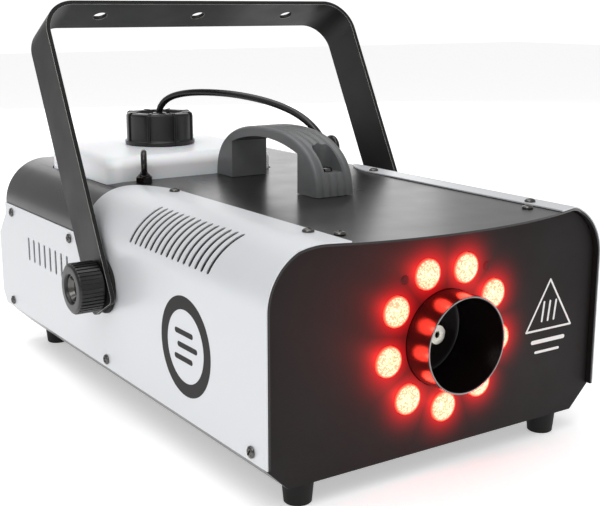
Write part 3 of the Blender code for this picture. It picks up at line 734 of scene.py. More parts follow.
def side_panel(name, side, node):
    outer = [(HALF_WIDTH, SIDE_BOTTOM)] + shoulder(SHOULDER_R) + [(EDGE_X, SHOULDER_UP + SHOULDER_R)]
    inner_r = SHOULDER_R - SKIN
    inner = [(HALF_WIDTH - SKIN, SIDE_BOTTOM)] + shoulder(inner_r) + [(EDGE_X, SHOULDER_UP + inner_r)]
    outline = [(side * x, up) for x, up in outer + list(reversed(inner))]
    panel = solid(name, prism, outline, "Y", -BOW - 5, REAR_TIP)
    punch(panel, prism, front_bow(), "Z", -5, 160)
    corner = [(EDGE_X + 45 * (1 + across), UPPER_REAR - 55 * (1 - along))
              for across, along in arc(0, 0, 1, 180, 90, 24)]
    upper = [(EDGE_X - 5, UPPER_REAR - 55)] + corner + [(140, UPPER_REAR), (140, 430),
                                                        (EDGE_X - 5, 430)]
    punch(panel, prism, [(side * x, back) for x, back in upper], "Z", SHOULDER_UP, 160)
    tips = [(COVER_REAR, 110), (COVER_REAR, 92), (REAR_TIP, 74), (REAR_TIP, 25),
            (405, SIDE_BOTTOM - 1), (430, SIDE_BOTTOM - 1), (430, 110)]
    punch(panel, prism, tips, "X", *beside(side, 110, 140))
    hole = [(side * 110, 5.3), (side * 130, 5.3)]
    punch(panel, turned, hole, "X", (0, PIVOT_BACK, PIVOT_UP), 32)
    carve(panel, curved_slot(side))
    carve(panel, straight_slot(side))
    soften(panel, 0.18, angle=50)
    dress(panel, silver_coat, nodes=[node])
    print(name, len(panel.data.polygons), "faces")


side_panel("left_side", -1, "left_side_panel")
side_panel("right_side", 1, "right_side_panel")

# %% [markdown]
# ## Black cover, tray and end plates
# Under the silver panels runs one black cover, which is also the top and the rear
# shoulders. A folded tray closes it below, and a plate closes each end. Windows in the
# cover let air through the slots of the side panels.

# %% Cover
TANK_X, TANK_BACK, TANK_UP = (-101.0, 34.0), (242.0, 356.0), (58.0, 152.5)
EYE_X, EYE_BACK = 80.0, 231.5
HANDLE_BACK = 175.0


def window_over_shoulder(side):
    low, high = SLOT_ARC
    outer = arc(SHOULDER_X, SHOULDER_UP, 38, low - 1.5, high + 1.5, 20)
    inner = arc(SHOULDER_X, SHOULDER_UP, 28, high + 1.5, low - 1.5, 20)
    end = TOP_SLOT_FIRST + (TOP_SLOTS - 1) * TOP_SLOT_PITCH
    return solid("window", prism, [(side * x, up) for x, up in outer + inner], "Y",
                 TOP_SLOT_FIRST - 9, end + 8)


def window_in_side(side):
    end = REAR_SLOT_FIRST + (REAR_SLOTS - 1) * REAR_SLOT_PITCH
    low, high = REAR_SLOT_UP
    return solid("window", block, beside(side, 118, 130), (REAR_SLOT_FIRST - 3, end + 3),
                 (low - 2, high + 2))


def cover():
    wall = HALF_WIDTH - SKIN - GAP
    outer = [(wall, SIDE_BOTTOM)] + shoulder(COVER_R)
    inner = [(wall - COVER, SIDE_BOTTOM)] + shoulder(COVER_R - COVER)
    outline = outer + mirrored(outer) + list(reversed(mirrored(inner))) + list(reversed(inner))
    sheet = solid("cover", prism, outline, "Y", -BOW - 5, COVER_REAR)
    punch(sheet, prism, front_bow(), "Z", -5, 160)
    opening = rounded((TANK_X[0] - 0.7, TANK_X[1] + 0.7), (TANK_BACK[0] - 0.7, TANK_BACK[1] + 0.7),
                      10.0)
    punch(sheet, prism, opening, "Z", 120, 150)
    punch(sheet, turned, [(120, 4.6), (145, 4.6)], "Z", (*HOSE_IN, 0), 32)
    for side in (-1, 1):
        carve(sheet, window_over_shoulder(side))
        carve(sheet, window_in_side(side))
        punch(sheet, turned, [(120, 3.3), (145, 3.3)], "Z", (side * EYE_X, EYE_BACK, 0), 24)
        punch(sheet, turned, [(side * 110, 5.3), (side * 130, 5.3)], "X", (0, PIVOT_BACK, PIVOT_UP), 32)
    soften(sheet, 0.3, angle=50)
    dress(sheet, satin_black, nodes=["top_cover"])
    print("cover", len(sheet.data.polygons), "faces")


cover()

# %% Tray and feet


def tray():
    outer_wall = SHOULDER_X + PLATE_R
    wall = outer_wall - COVER
    bend = SIDE_BOTTOM - 0.5
    outer = [(CHAMFER_X, 0), (HALF_WIDTH - 0.6, bend), (outer_wall, bend), (outer_wall, 30)]
    inner = [(CHAMFER_X - 0.4, COVER), (wall, bend - COVER), (wall, 30)]
    outline = outer + list(reversed(inner)) + [(-x, up) for x, up in inner] + mirrored(outer)
    sheet = solid("tray", prism, outline, "Y", 6.3, 393.2)
    soften(sheet, 0.3, angle=35)
    dress(sheet, satin_black, nodes=["base_tray"])


def feet():
    """A foot is a turned rubber buffer with a recess and a hole for its screw."""
    for end, back in (("front", 16.0), ("rear", 375.0)):
        for side, x in (("left", -95.0), ("right", 95.0)):
            profile = [(-15, 4), (-15, 7.4), (-14.4, 8), (-0.3, 9.4), (-0.3, 2), (-6, 2), (-6, 4)]
            foot = solid(f"{end}_{side}_buffer", turned, profile, "Z", (x, back, 0), 48, closed=True)
            soften(foot, 0.3)
            dress(foot, black_rubber, nodes=[f"{end}_{side}_foot"])


tray()
feet()

# %% [markdown]
# The front plate carries the lamps in punched holes round the nozzle, and two flat
# rivets show where the lamp board hangs behind it. The rear plate is cut for the
# display, the buttons, the sockets and the mains inlet.

# %% End plates
COLLAR_R = 29.0
PLATE_BACK, REAR_FACE = 4.0, 395.0
DISPLAY_X, DISPLAY_UP = (-92.0, -46.0), (92.0, 112.0)
BUTTON_X, BUTTON_UP, BUTTON_R = {"menu": -90.0, "up": -69.0, "down": -48.0}, 78.0, 4.0
SOCKET_X, SOCKET_UP, SOCKET_R = {"dmx_in": 0.0, "dmx_out": 36.0}, 88.0, 11.8
INLET_X, INLET_UP, ROCKER_UP = (62.0, 90.0), (34.0, 102.0), 88.0


def lamp_places():
    """Centres of the lamps as (x, up), the first one straight down."""
    turns = [math.radians(-90 + 360 * i / LAMP_COUNT) for i in range(LAMP_COUNT)]
    return [(LAMP_CIRCLE * math.cos(t), AXIS_UP + LAMP_CIRCLE * math.sin(t)) for t in turns]


def plate_outline():
    wall = SHOULDER_X + PLATE_R
    half = [(CHAMFER_X, 0), (HALF_WIDTH - 0.6, SIDE_BOTTOM - 0.5), (wall, SIDE_BOTTOM - 0.5)]
    half += shoulder(PLATE_R)
    return half + mirrored(half)


def front_plate():
    plate = solid("front_plate", prism, plate_outline(), "Y", PLATE_BACK, PLATE_BACK + 2)
    holes = [(0, AXIS_UP, COLLAR_R + 0.4)] + [(x, up, LAMP_R + 0.35) for x, up in lamp_places()]
    for x, up, radius in holes:
        punch(plate, turned, [(0, radius), (10, radius)], "Y", (x, 0, up), 64)
    soften(plate, 0.3, angle=50)
    # The plate's finish paints a red halo round each lamp.
    dress(plate, black_with_painted_halo, nodes=["front_panel"])


def rear_plate():
    plate = solid("rear_plate", prism, plate_outline(), "Y", REAR_FACE - 1.5, REAR_FACE)
    back = (REAR_FACE - 6, REAR_FACE + 5)
    punch(plate, block, DISPLAY_X, back, DISPLAY_UP)
    punch(plate, block, (INLET_X[0] - GAP, INLET_X[1] + GAP), back,
          (INLET_UP[0] - GAP, INLET_UP[1] + GAP))
    round_holes = [(x, SOCKET_UP, SOCKET_R + GAP) for x in SOCKET_X.values()]
    round_holes += [(x, BUTTON_UP, BUTTON_R + 0.35) for x in BUTTON_X.values()]
    for x, up, radius in round_holes:
        punch(plate, turned, [(-6, radius), (5, radius)], "Y", (x, REAR_FACE, up), 48)
    soften(plate, 0.25, angle=50)
    dress(plate, textured_black, nodes=["rear_panel"])


front_plate()
rear_plate()

# %% [markdown]
# ## Nozzle and lamps
# The nozzle stands back inside an enamelled steel tube, which keeps hands off it. Each
# lamp is a power LED behind a pressed lens with a narrow rim and a low dome. The lens
# stores how bright each ring of it is in an attribute, which its finish reads.

# %% Nozzle


def nozzle():
    wall = COLLAR_R - 1.4
    profile = [(-15.3, wall + 0.3), (-15.3, COLLAR_R - 0.3), (-15.0, COLLAR_R), (6.4, COLLAR_R),
               (6.4, COLLAR_R + 2.5), (7.6, COLLAR_R + 2.5), (7.6, COLLAR_R), (24, COLLAR_R),
               (24, 9), (22.6, 9), (22.6, wall - 3), (21.7, wall - 0.9), (19.6, wall), (-15.0, wall)]
    tube = solid("nozzle_tube", turned, profile, "Y", (0, 0, AXIS_UP), 128, closed=True)
    tube.data.materials.append(glossy_enamel)
    # The rim's front faces take a light finish, a painted highlight.
    tube.data.materials.append(rim_highlight_paint)
    rim = at(0, -15.3, 0).y
    for face in tube.data.polygons:
        if all(abs(tube.data.vertices[v].co.y - rim) < 0.05 * MM for v in face.vertices):
            face.material_index = 1
    soften(tube, 0)
    dress(tube, glossy_enamel, nodes=["nozzle_collar"])
    profile = [(11, 1.5), (10.5, 2.1), (10.5, 5.8), (11.6, 6.9), (26, 7.2), (26, 10), (26.5, 10.5),
               (34, 10.5), (34, 6), (39.6, 6), (39.6, 1.5)]
    jet = solid("nozzle_jet", turned, profile, "Y", (0, 0, AXIS_UP), 64, closed=True)
    soften(jet, 0.15)
    dress(jet, nickel_brass, nodes=["nozzle_tip"])


nozzle()

# %% Lamp lenses
# (back, radius, brightness) down the lens, from its sides over the rim to its middle
LENS_RINGS = [
    (11.8, 9.15, 0), (3.7, 9.15, 0.02), (3.45, 9.0, 0.06), (3.4, 8.7, 0.16), (3.55, 8.5, 0.1),
    (3.35, 8.3, 0.6), (3.05, 7.8, 0.8), (2.7, 6.8, 0.9), (2.35, 5.4, 1.0), (2.1, 4.0, 1.0),
    (1.95, 2.4, 1.0), (1.85, 0, 1.0),
]


def lens(name, x, up):
    steps = 48
    obj = solid(name, turned, [(back, radius) for back, radius, _ in LENS_RINGS], "Y", (x, 0, up),
                steps)
    middle = at(x, 0, up)
    glow = obj.data.attributes.new("glow", "FLOAT", "POINT")
    by_radius = sorted((radius, bright) for _, radius, bright in LENS_RINGS[1:])
    for vertex, value in zip(obj.data.vertices, glow.data):
        radius = math.hypot(vertex.co.x - middle.x, vertex.co.z - middle.z) / MM
        value.value = min(by_radius, key=lambda ring: abs(ring[0] - radius))[1]
    return soften(obj, 0, angle=50)


for number, (x, up) in enumerate(lamp_places(), 1):
    dress(lens(f"lamp_{number}", x, up), lamp_glow, nodes=[f"led_lens_{number}"])

# %% [markdown]
# ## Fluid tank and its cap
# The tank is blow moulded, so it has no sharp edge: the plastic thins round each corner
# and the top swells a little towards the neck. It is a stack of rounded outlines that
# close in on the neck's circle. The cap is moulded with eight grip ribs, which run over
# its top edge.

# %% Tank
CAP_UP, CAP_R = (153.2, 176.5), 25.2


def tank():
    low, top = TANK_UP
    edge = 9.0
    rings = []
    levels = [(3, low), (1, low + 1), (0, low + 4), (0, low + 60)]
    for i in range(9):
        t = math.radians(i * 10)
        levels.append((edge * (1 - math.cos(t)), top - edge + edge * 0.93 * math.sin(t)))
    for inset, up in levels:
        outline = rounded((TANK_X[0] + inset, TANK_X[1] - inset),
                          (TANK_BACK[0] + inset, TANK_BACK[1] - inset),
                          max(11 - inset * 0.5, 3), 12)
        rings.append([at(x, back, up) for x, back in outline])
    last = outline
    for share, up in ((0.25, top - 0.3), (0.6, top - 0.05), (0.9, top), (1.0, top + 0.2)):
        ring = []
        for x, back in last:
            turn = math.atan2(back - CAP_BACK, x - CAP_X)
            round_x = CAP_X + 20.2 * math.cos(turn)
            round_back = CAP_BACK + 20.2 * math.sin(turn)
            ring.append(at(x + (round_x - x) * share, back + (round_back - back) * share, up))
        rings.append(ring)
    for radius, up in ((19.8, top + 0.6), (19.8, 166), (17.4, 166), (17.4, 100)):
        rings.append([at(CAP_X + radius * math.cos(turn), CAP_BACK + radius * math.sin(turn), up)
                      for turn in [math.atan2(back - CAP_BACK, x - CAP_X) for x, back in last]])
    bm = bmesh.new()
    skin(bm, rings)
    body = soften(solid("tank", bm), 0, angle=60)
    dress(body, waxy_tank, nodes=["fluid_tank"])


tank()

# %% Cap


def centred(obj, centre):
    """Move a mesh so that this place of the case comes to the origin."""
    obj.data.transform(Matrix.Translation(-at(*centre)))
    return obj


def cap():
    low, top = CAP_UP
    profile = [(low, 20.4), (low, 26.5), (low + 2.2, 26.5), (low + 3.2, CAP_R), (top - 2.2, CAP_R),
               (top - 0.8, CAP_R - 0.5), (top, CAP_R - 2), (top, 17.5), (171.8, 16.5), (171.8, 3.4),
               (168.6, 3.4), (168.6, 20.4)]
    body = solid("cap", turned, profile, "Z", (CAP_X, CAP_BACK, 0), 96, closed=True)
    soften(body, 0.35)
    dress(body, black_abs, "cap", ["tank_cap"])
    outline = [(24.4, low + 2.6), (26.3, low + 2.6), (26.3, top - 2.4), (25.6, top - 0.4),
               (24.2, top + 0.5),
               (18.0, top + 0.5), (18.0, top - 0.5), (24.0, top - 1.2)]
    bm = bmesh.new()
    skin(bm, [[at(radius, width, up) for radius, up in outline] for width in (-1.1, 1.1)])
    rib = centred(soften(solid("cap_ribs", bm), 0.45, 3), (0, 0, 0))
    grow(rib, RING, Count=8, Centre=at(CAP_X, CAP_BACK, 0), Axis=(0, 0, 1), Material=black_abs)
    dress(rib, black_abs, "cap")
    gland = solid("hose_gland", turned,
                  [(171.9, 2.9), (171.9, 6.2), (175.2, 6.2), (176.0, 5.2), (176.0, 2.9)],
                  "Z", (CAP_X, CAP_BACK, 0), 6, closed=True)
    dress(soften(gland, 0.4), black_abs, "cap")


cap()

# %% Grommet


def grommet():
    """The rubber ring that keeps the hose off the edge of its hole."""
    top = COVER_TOP
    profile = [(top + GAP, 4.3), (top + GAP, 6.6), (top + 1.0, 6.9), (top + 2.0, 6.2), (top + 2.8, 4.2),
               (top + 2.8, 2.7), (top - 3.6, 2.7), (top - 3.6, 6.2), (top - COVER - GAP, 6.2),
               (top - COVER - GAP, 4.3)]
    ring = solid("grommet", turned, profile, "Z", (*HOSE_IN, 0), 40, closed=True)
    dress(soften(ring, 0.25), black_rubber, nodes=["hose_grommet"])


grommet()

# %% [markdown]
# ## Carry handle
# The handle is one moulding in glass filled nylon: an arch like a flattened ellipse with
# grip ridges along it. Its sides are cross-sections of the arch, so it is built as a row
# of them across its width, each pushed in or out by the height of the ridges there. A
# pocket in each foot takes the screw.

# %% Handle
HANDLE_HALF, HANDLE_X, HANDLE_MIDDLE, HANDLE_RISE = 65.5, 14.5, -3.0, 39.6
RIDGE_PITCH, RIDGE_HEIGHT, EDGE_ROUND = 5.8, 0.9, 2.2
RIDGED = 2 * RIDGE_PITCH


def handle_depth(x):
    """How far the arch's outside lies inside its full height at this place across it."""
    edge = abs(x) - (HANDLE_X - EDGE_ROUND)
    rounding = EDGE_ROUND - math.sqrt(max(EDGE_ROUND**2 - edge**2, 0)) if edge > 0 else 0
    ridges = RIDGE_HEIGHT * (1 - math.cos(2 * math.pi * x / RIDGE_PITCH)) / 2 if abs(x) < RIDGED else 0
    return rounding + ridges


def handle():
    base = COVER_TOP + GAP
    power = 2 / 2.4
    gap_half, sag = 42.2, 7.0
    radius = (gap_half**2 + sag**2) / (2 * sag)
    reach = math.degrees(math.asin(gap_half / radius))
    inner = arc(HANDLE_BACK, base + 33.0 - radius, radius, 90 + reach, 90 - reach, 24)
    stations = [-HANDLE_X + EDGE_ROUND * (1 - math.cos(math.radians(a))) for a in (0, 20, 40, 60, 80)]
    stations += [1.05 * RIDGED * (i / 40 - 1) for i in range(81)]
    stations += [-x for x in reversed(stations[:5])]
    rings = []
    for x in stations:
        depth = handle_depth(x)
        outer = []
        for i in range(65):
            turn = math.pi * i / 64
            across, rise = math.cos(turn), math.sin(turn)
            half, height = HANDLE_HALF - depth, HANDLE_RISE - depth
            outer.append((HANDLE_BACK + half * math.copysign(abs(across) ** power, across),
                          base + height * rise**power))
        outline = outer + [(HANDLE_BACK - gap_half, base)] + inner + [(HANDLE_BACK + gap_half, base)]
        rings.append([at(HANDLE_MIDDLE + x, back, up) for back, up in outline])
    bm = bmesh.new()
    skin(bm, rings)
    grip = solid("handle", bm)
    for sign in (-1, 1):
        back = sorted((HANDLE_BACK + sign * 80, HANDLE_BACK + sign * 44))
        outline = rounded((HANDLE_MIDDLE - 7, HANDLE_MIDDLE + 7), back, 6.0, 8)
        pocket = solid("pocket", prism, outline, "Z", base + 15, base + 60)
        carve(grip, pocket)
    soften(grip, 0.25, angle=50)
    dress(grip, grey_nylon, nodes=["carry_handle"])
    print("handle", len(grip.data.polygons), "faces")


handle()

# %% [markdown]
# ## Yoke and clamp knobs
# The yoke is flat bar, 36 by 3 mm, bent into a bracket and hung on two studs. It leans
# back 28 degrees as the machine stands, so it is built upright, where its outline is
# simple, and its mesh is then turned about the studs. The bevel that breaks the cut
# edges takes a second, light finish, which paints a highlight along them.

# %% Yoke
YOKE_X, YOKE_THICK, YOKE_BAR, YOKE_REACH, YOKE_BEND, YOKE_LEAN = 130.5, 3.0, 36.0, 200.0, 24.0, 28.0


def yoke():
    top = PIVOT_UP + YOKE_REACH
    foot = PIVOT_UP - 17.0
    corner = (YOKE_X - YOKE_BEND, top - YOKE_BEND)
    outer = [(YOKE_X, foot)] + arc(*corner, YOKE_BEND, 0, 90, 24)
    inner = [(YOKE_X - YOKE_THICK, foot)] + arc(*corner, YOKE_BEND - YOKE_THICK, 0, 90, 24)
    outline = outer + mirrored(outer) + list(reversed(mirrored(inner))) + list(reversed(inner))
    front, rear = PIVOT_BACK - YOKE_BAR / 2, PIVOT_BACK + YOKE_BAR / 2
    bar = solid("yoke_bar", prism, outline, "Y", front, rear)
    below = (foot - 5, foot + 5)
    for edge, sign in ((front, 1), (rear, -1)):
        # A square corner less a round one leaves the rounded foot of each arm.
        notch = [(edge - sign * 5, below[0]), (edge + sign * 5, below[0])]
        notch += arc(edge + sign * 5, foot + 5, 5, 270, 180 if sign > 0 else 360, 10)
        notch += [(edge - sign * 5, foot + 5)]
        punch(bar, prism, notch, "X", -140, 140)
    for side in (-1, 1):
        punch(bar, turned, [(side * 120, 5.4), (side * 140, 5.4)], "X", (0, PIVOT_BACK, PIVOT_UP), 48)
    for x in (-80, 0, 80):
        punch(bar, turned, [(top - 10, 5.2), (top + 10, 5.2)], "Z", (x, PIVOT_BACK, 0), 48)
    bar.data.materials.append(yoke_coat)
    # The second slot is the light edge finish, a painted highlight that the bevel takes.
    bar.data.materials.append(edge_highlight_paint)
    soften(bar, 0.7, 3, angle=50, edge_slot=1)
    turn_about(bar, (0, PIVOT_BACK, PIVOT_UP), -YOKE_LEAN, "X")
    dress(bar, yoke_coat, "yoke", ["yoke"])


yoke()

# %% [markdown]
# A knob is moulded on a steel bush and has fine straight ridges, so that it can be
# turned tight by hand. One ridge is modelled, and the ring tree repeats it 38 times.

# %% Knobs, spacers and studs
KNOB_OUT, KNOB_RIDGES = 149.0, 38


def clamp(name, side):
    centre = (0, PIVOT_BACK, PIVOT_UP)

    def out(profile):
        return [(side * along, radius) for along, radius in profile]

    profile = [(130.9, 5.1), (130.9, 15.9), (131.4, 16.5), (KNOB_OUT - 1.5, 16.6),
               (KNOB_OUT - 0.4, 15.6),
               (KNOB_OUT, 14.6), (KNOB_OUT, 10.6), (KNOB_OUT - 0.9, 9.6), (142, 8), (142, 5.1)]
    knob = solid(f"{name}_knob", turned, out(profile), "X", centre, 96, closed=True)
    dress(soften(knob, 0.2), black_abs, f"{name}_knob", [f"{name}_clamp_knob"])
    bm = bmesh.new()
    outline = [(131.6, 16.0), (131.6, 17.1), (132.2, 17.45), (147.2, 17.45), (147.9, 17.0),
               (147.9, 16.0)]
    skin(bm, [[at(side * along, across, up - (abs(across) > 0.3) * 0.35) for along, up in outline]
              for across in (-0.85, -0.4, 0.4, 0.85)])
    ridge = centred(solid(f"{name}_knob_ridges", bm), (0, 0, 0))
    grow(ridge, RING, Count=KNOB_RIDGES, Centre=at(*centre), Axis=(1, 0, 0), Material=black_abs)
    dress(soften(ridge, 0), black_abs, f"{name}_knob")
    bush = [(142.1, 5.0), (142.1, 7.9), (147.0, 9.1), (147.0, 8.5), (143.6, 6.6), (143.6, 5.0)]
    insert = solid(f"{name}_knob_bush", turned, out(bush), "X", centre, 48, closed=True)
    dress(soften(insert, 0.15), screw_steel, f"{name}_knob")
    ring = [(HALF_WIDTH + GAP, 5.3), (HALF_WIDTH + GAP, 19.3), (125.8, 19.5), (127.1, 19.2),
            (127.1, 5.3)]
    washer = solid(f"{name}_washer", turned, out(ring), "X", centre, 72, closed=True)
    dress(soften(washer, 0.15), black_rubber, nodes=[f"{name}_spacer"])
    shaft = [(116, 0), (116, 8), (121.8, 8), (121.8, 4.8), (143.2, 4.8), (144, 4.0), (144, 3.4),
             (138, 3.4),
             (138, 0)]
    stud = solid(f"{name}_stud", turned, out(shaft), "X", centre, 48)
    dress(soften(stud, 0.1), screw_steel, nodes=[f"{name}_pivot_stud"])


clamp("left", -1)
clamp("right", 1)

# %% [markdown]
# ## Safety eyes
# A safety cable is clipped into two eye bolts when the machine hangs. Each is a ring
# forged on a collar, coated black.

# %% Eyes


def safety_eye(name, x, turn):
    collar = COVER_TOP + GAP
    hexagon = [(collar, 0), (collar, 6.2), (collar + 3.6, 6.2), (collar + 4.3, 5.2), (collar + 4.5, 0)]
    eye = solid(f"{name}_eye", turned, hexagon, "Z", (x, EYE_BACK, 0), 6)
    neck = [(125, 0), (125, 2.9), (collar + 1, 2.9), (collar + 1, 4.4), (collar + 5, 4.2),
            (collar + 6, 3.0),
            (collar + 7.4, 2.3), (collar + 7.4, 0)]
    carve(eye, solid("neck", turned, neck, "Z", (x, EYE_BACK, 0), 32), "UNION")
    middle = collar + 13.4
    ring = solid("ring", turned, arc(0, 7.2, 2.1, 0, 360, 20)[:-1], "X", (x, EYE_BACK, middle), 64,
                 closed=True)
    turn_about(ring, (x, EYE_BACK, middle), -turn, "Z")
    carve(eye, ring, "UNION")
    dress(soften(eye, 0.25, angle=45), glossy_enamel, nodes=[f"{name}_safety_eye"])


safety_eye("left", -EYE_X, 25)
safety_eye("right", EYE_X, 0)

# %% [markdown]
# ## Rear controls
# A small display and three keys set the machine, two round sockets take the control
# cable in and out, and a mains inlet is combined with a rocker switch.

# %% Display and keys


def display():
    (left, right), (low, high) = DISPLAY_X, DISPLAY_UP
    window = solid("display", block, (left + GAP, right - GAP), (386, REAR_FACE + 0.8),
                   (low + GAP, high - GAP))
    dress(soften(window, 0.4, 3), red_filter, nodes=["display_window"])
    frame_outer = rounded((left - 2.2, right + 2.2), (low - 2.2, high + 2.2), 1.8)
    bezel = solid("display_bezel", prism, frame_outer, "Y", REAR_FACE + 0.05, REAR_FACE + 0.9)
    punch(bezel, block, (left, right), (380, 400), (low, high))
    dress(soften(bezel, 0.25), black_abs)


def keys():
    for label, x in BUTTON_X.items():
        profile = [(385.4, 0), (385.4, 2.0), (391.0, 2.0), (391.0, BUTTON_R),
                   (REAR_FACE + 1.9, BUTTON_R),
                   (REAR_FACE + 2.4, BUTTON_R - 0.4), (REAR_FACE + 2.2, 1.6), (REAR_FACE + 2.1, 0)]
        key = solid(f"{label}_cap", turned, profile, "Y", (x, 0, BUTTON_UP), 40)
        dress(soften(key, 0.2), grey_nylon, f"{label}_key", [f"{label}_button"])


display()
keys()

# %% Sockets


def socket(label, x, male):
    """A round three-pole socket: a square flange, a barrel and its contacts."""
    face = REAR_FACE + 2.2
    flange = solid(f"{label}_shell", prism,
                   rounded((x - 13, x + 13), (SOCKET_UP - 15.5, SOCKET_UP + 15.5), 2),
                   "Y", REAR_FACE + GAP, face)
    carve(flange, solid("barrel", turned, [(372, SOCKET_R), (REAR_FACE + 1.5, SOCKET_R)],
                        "Y", (x, 0, SOCKET_UP), 64), "UNION")
    punch(flange, turned, [(382, 9.2), (400, 9.2)], "Y", (x, 0, SOCKET_UP), 64)
    soften(flange, 0.35)
    dress(flange, black_abs, nodes=[label])
    places = [(x + 3.6 * math.cos(math.radians(a)), SOCKET_UP + 3.6 * math.sin(math.radians(a)))
              for a in (30, 150, 270)]
    if male:
        pins = [solid("pin", turned, [(382, 0), (382, 1.2), (393.4, 1.2), (394.2, 0.6), (394.2, 0)],
                      "Y", (px, 0, up), 20) for px, up in places]
        material_used, slot_name = contact_brass, "brass"
    else:
        core = solid("pin", turned, [(382, 0), (382, 7.0), (393, 7.0), (393, 0)], "Y",
                     (x, 0, SOCKET_UP), 48)
        for px, up in places:
            punch(core, turned, [(386, 1.4), (396, 1.4)], "Y", (px, 0, up), 20)
        pins = [core]
        material_used, slot_name = black_abs, "black_plastic"
    contacts = fused(f"{label}_contacts", pins)
    dress(soften(contacts, 0.15), material_used)


socket("dmx_in", SOCKET_X["dmx_in"], True)
socket("dmx_out", SOCKET_X["dmx_out"], False)

# %% Mains inlet and switch
ROCKER_REST = 7


def inlet():
    middle = sum(INLET_X) / 2
    low, high = INLET_UP
    flange = solid("mains_inlet", prism,
                   rounded((INLET_X[0] - 3, INLET_X[1] + 3), (low - 3, high + 3), 2),
                   "Y", REAR_FACE + GAP, REAR_FACE + 2.5)
    carve(flange, solid("body", block, INLET_X, (364, REAR_FACE + 1.5), INLET_UP), "UNION")
    mouth = [(middle - 11.5, low + 3), (middle + 11.5, low + 3), (middle + 11.5, low + 15.5),
             (middle + 7, low + 20), (middle - 7, low + 20), (middle - 11.5, low + 15.5)]
    punch(flange, prism, mouth, "Y", 380, 404)
    punch(flange, block, (middle - 7, middle + 7), (378, 404), (ROCKER_UP - 11, ROCKER_UP + 11))
    fuse = rounded((middle - 9, middle + 9), (low + 26, low + 38), 1)
    punch(flange, prism, fuse, "Y", REAR_FACE + 1.9, 404)
    soften(flange, 0.3)
    dress(flange, black_abs, nodes=["power_inlet"])
    blades = [(middle - 7, low + 9), (middle + 7, low + 9), (middle, low + 14)]
    parts = [solid("blade", block, (x - 1, x + 1), (380, 393), (up - 2, up + 2)) for x, up in blades]
    dress(soften(fused("mains_blades", parts), 0.3), zinc_plate)


def rocker():
    """The rocker's face is dished; it rests tilted."""
    middle = sum(INLET_X) / 2
    face = REAR_FACE
    dish = [(face + 3.6 - 1.7 * (1 - (i / 10 - 1) ** 2),
             ROCKER_UP - 9.4 + 18.8 * i / 20) for i in range(21)]
    outline = [(face - 7, ROCKER_UP - 8.8)] + dish + [(face - 7, ROCKER_UP + 8.8)]
    key = soften(solid("rocker_key", prism, outline, "X", middle - 6.6, middle + 6.6), 0.4, 3)
    turn_about(key, (middle, face - 4, ROCKER_UP), ROCKER_REST, "X")
    dress(key, black_abs, "rocker", ["power_switch"])


inlet()
rocker()

# %% [markdown]
# ## Screws and rivets
# The panels are held by dark plated M4 pan head screws, 7 mm across, with cross
# recesses. Each place is a vertex that stores which way the screw faces and how far it
# was turned, and the tree stands a head on each.

# %% Screw places


def screw_head():
    head = solid("screw_head", turned,
                 [(0, 0), (0, 3.2), (0.5, 3.5), (1.1, 3.35), (1.7, 2.6), (2.0, 1.4), (2.05, 0)], "Z",
                 (0, 0, 0), 24)
    for half_x, half_y in ((2.2, 0.65), (0.65, 2.2)):
        punch(head, block, (-half_x, half_x), (-half_y, half_y), (0.5, 3))
    return centred(soften(head, 0), (0, 0, 0))


def rivet_head():
    head = solid("rivet_head", turned, [(0, 0), (0, 2.9), (0.25, 2.7), (0.45, 1.9), (0.5, 0)], "Z",
                 (0, 0, 0), 24)
    return centred(soften(head, 0), (0, 0, 0))


def stand(name, part, places, mat):
    """Stand a part on places, given as (x, back, up, facing)."""
    mesh = bpy.data.meshes.new(name)
    mesh.from_pydata([at(x, back, up) for x, back, up, _ in places], [], [])
    mesh.attributes.new("facing", "FLOAT_VECTOR", "POINT")
    mesh.attributes.new("spin", "FLOAT", "POINT")
    for i, place in enumerate(places):
        mesh.attributes["facing"].data[i].vector = place[3]
        mesh.attributes["spin"].data[i].value = 0.5 + 1.7 * i
    obj = link(name, mesh)
    grow(obj, PLACES, Part=part, Material=mat)
    bpy.data.objects.remove(part)
    smooth(obj, 35)
    dress(obj, mat)
    print(name, len(places))


UP, REAR = (0, 0, 1), (0, 1, 0)
silver_top = SHOULDER_UP + SHOULDER_R
screws = []
for side in (-1, 1):
    outward = (side, 0, 0)
    screws += [(side * 83.5, 23, silver_top, UP), (side * 82.5, 181, silver_top, UP)]
    screws += [(side * 70.4, 12, COVER_TOP, UP)]
    screws += [(side * HALF_WIDTH, back, 21.3, outward) for back in (15.6, 204.5, 389)]
    screws += [(side * HALF_WIDTH, back, 95, outward) for back in (262, 382)]
    screws += [(side * 112, REAR_FACE, up, REAR) for up in (26, 84)] + [(side * 60, REAR_FACE, 126,
                                                                         REAR)]
stand("case_screws", screw_head(), screws, screw_steel)
plate_rivets = [(x, PLATE_BACK, 105.7, (0, -1, 0)) for x in (-31, 31)]
# The rivets take the plate's finish, with its painted red halo.
stand("plate_rivets", rivet_head(), plate_rivets, black_with_painted_halo)

# %% Handle and socket screws
base = COVER_TOP + GAP


def handle_screw(name, back):
    profile = [(base - 8, 0), (base - 8, 2.0), (base + 15.3, 2.0), (base + 15.3, 4.2), (base + 17, 3.9),
               (base + 17.6, 3.0), (base + 17.7, 0)]
    place = (HANDLE_MIDDLE, back, 0)
    screw = solid(f"{name}_bolt", turned, profile, "Z", place, 32)
    punch(screw, turned, [(base + 16.2, 1.6), (base + 20, 1.6)], "Z", place, 6)
    dress(soften(screw, 0.1), screw_steel, nodes=[name])


handle_screw("handle_screw_front", HANDLE_BACK - 54)
handle_screw("handle_screw_rear", HANDLE_BACK + 54)
flange_screws = [(x + dx, REAR_FACE + 2.2, SOCKET_UP + dz, REAR)
                 for x in SOCKET_X.values() for dx, dz in ((-9.6, 11.6), (9.6, -11.6))]
stand("socket_rivets", rivet_head(), flange_screws, zinc_plate)

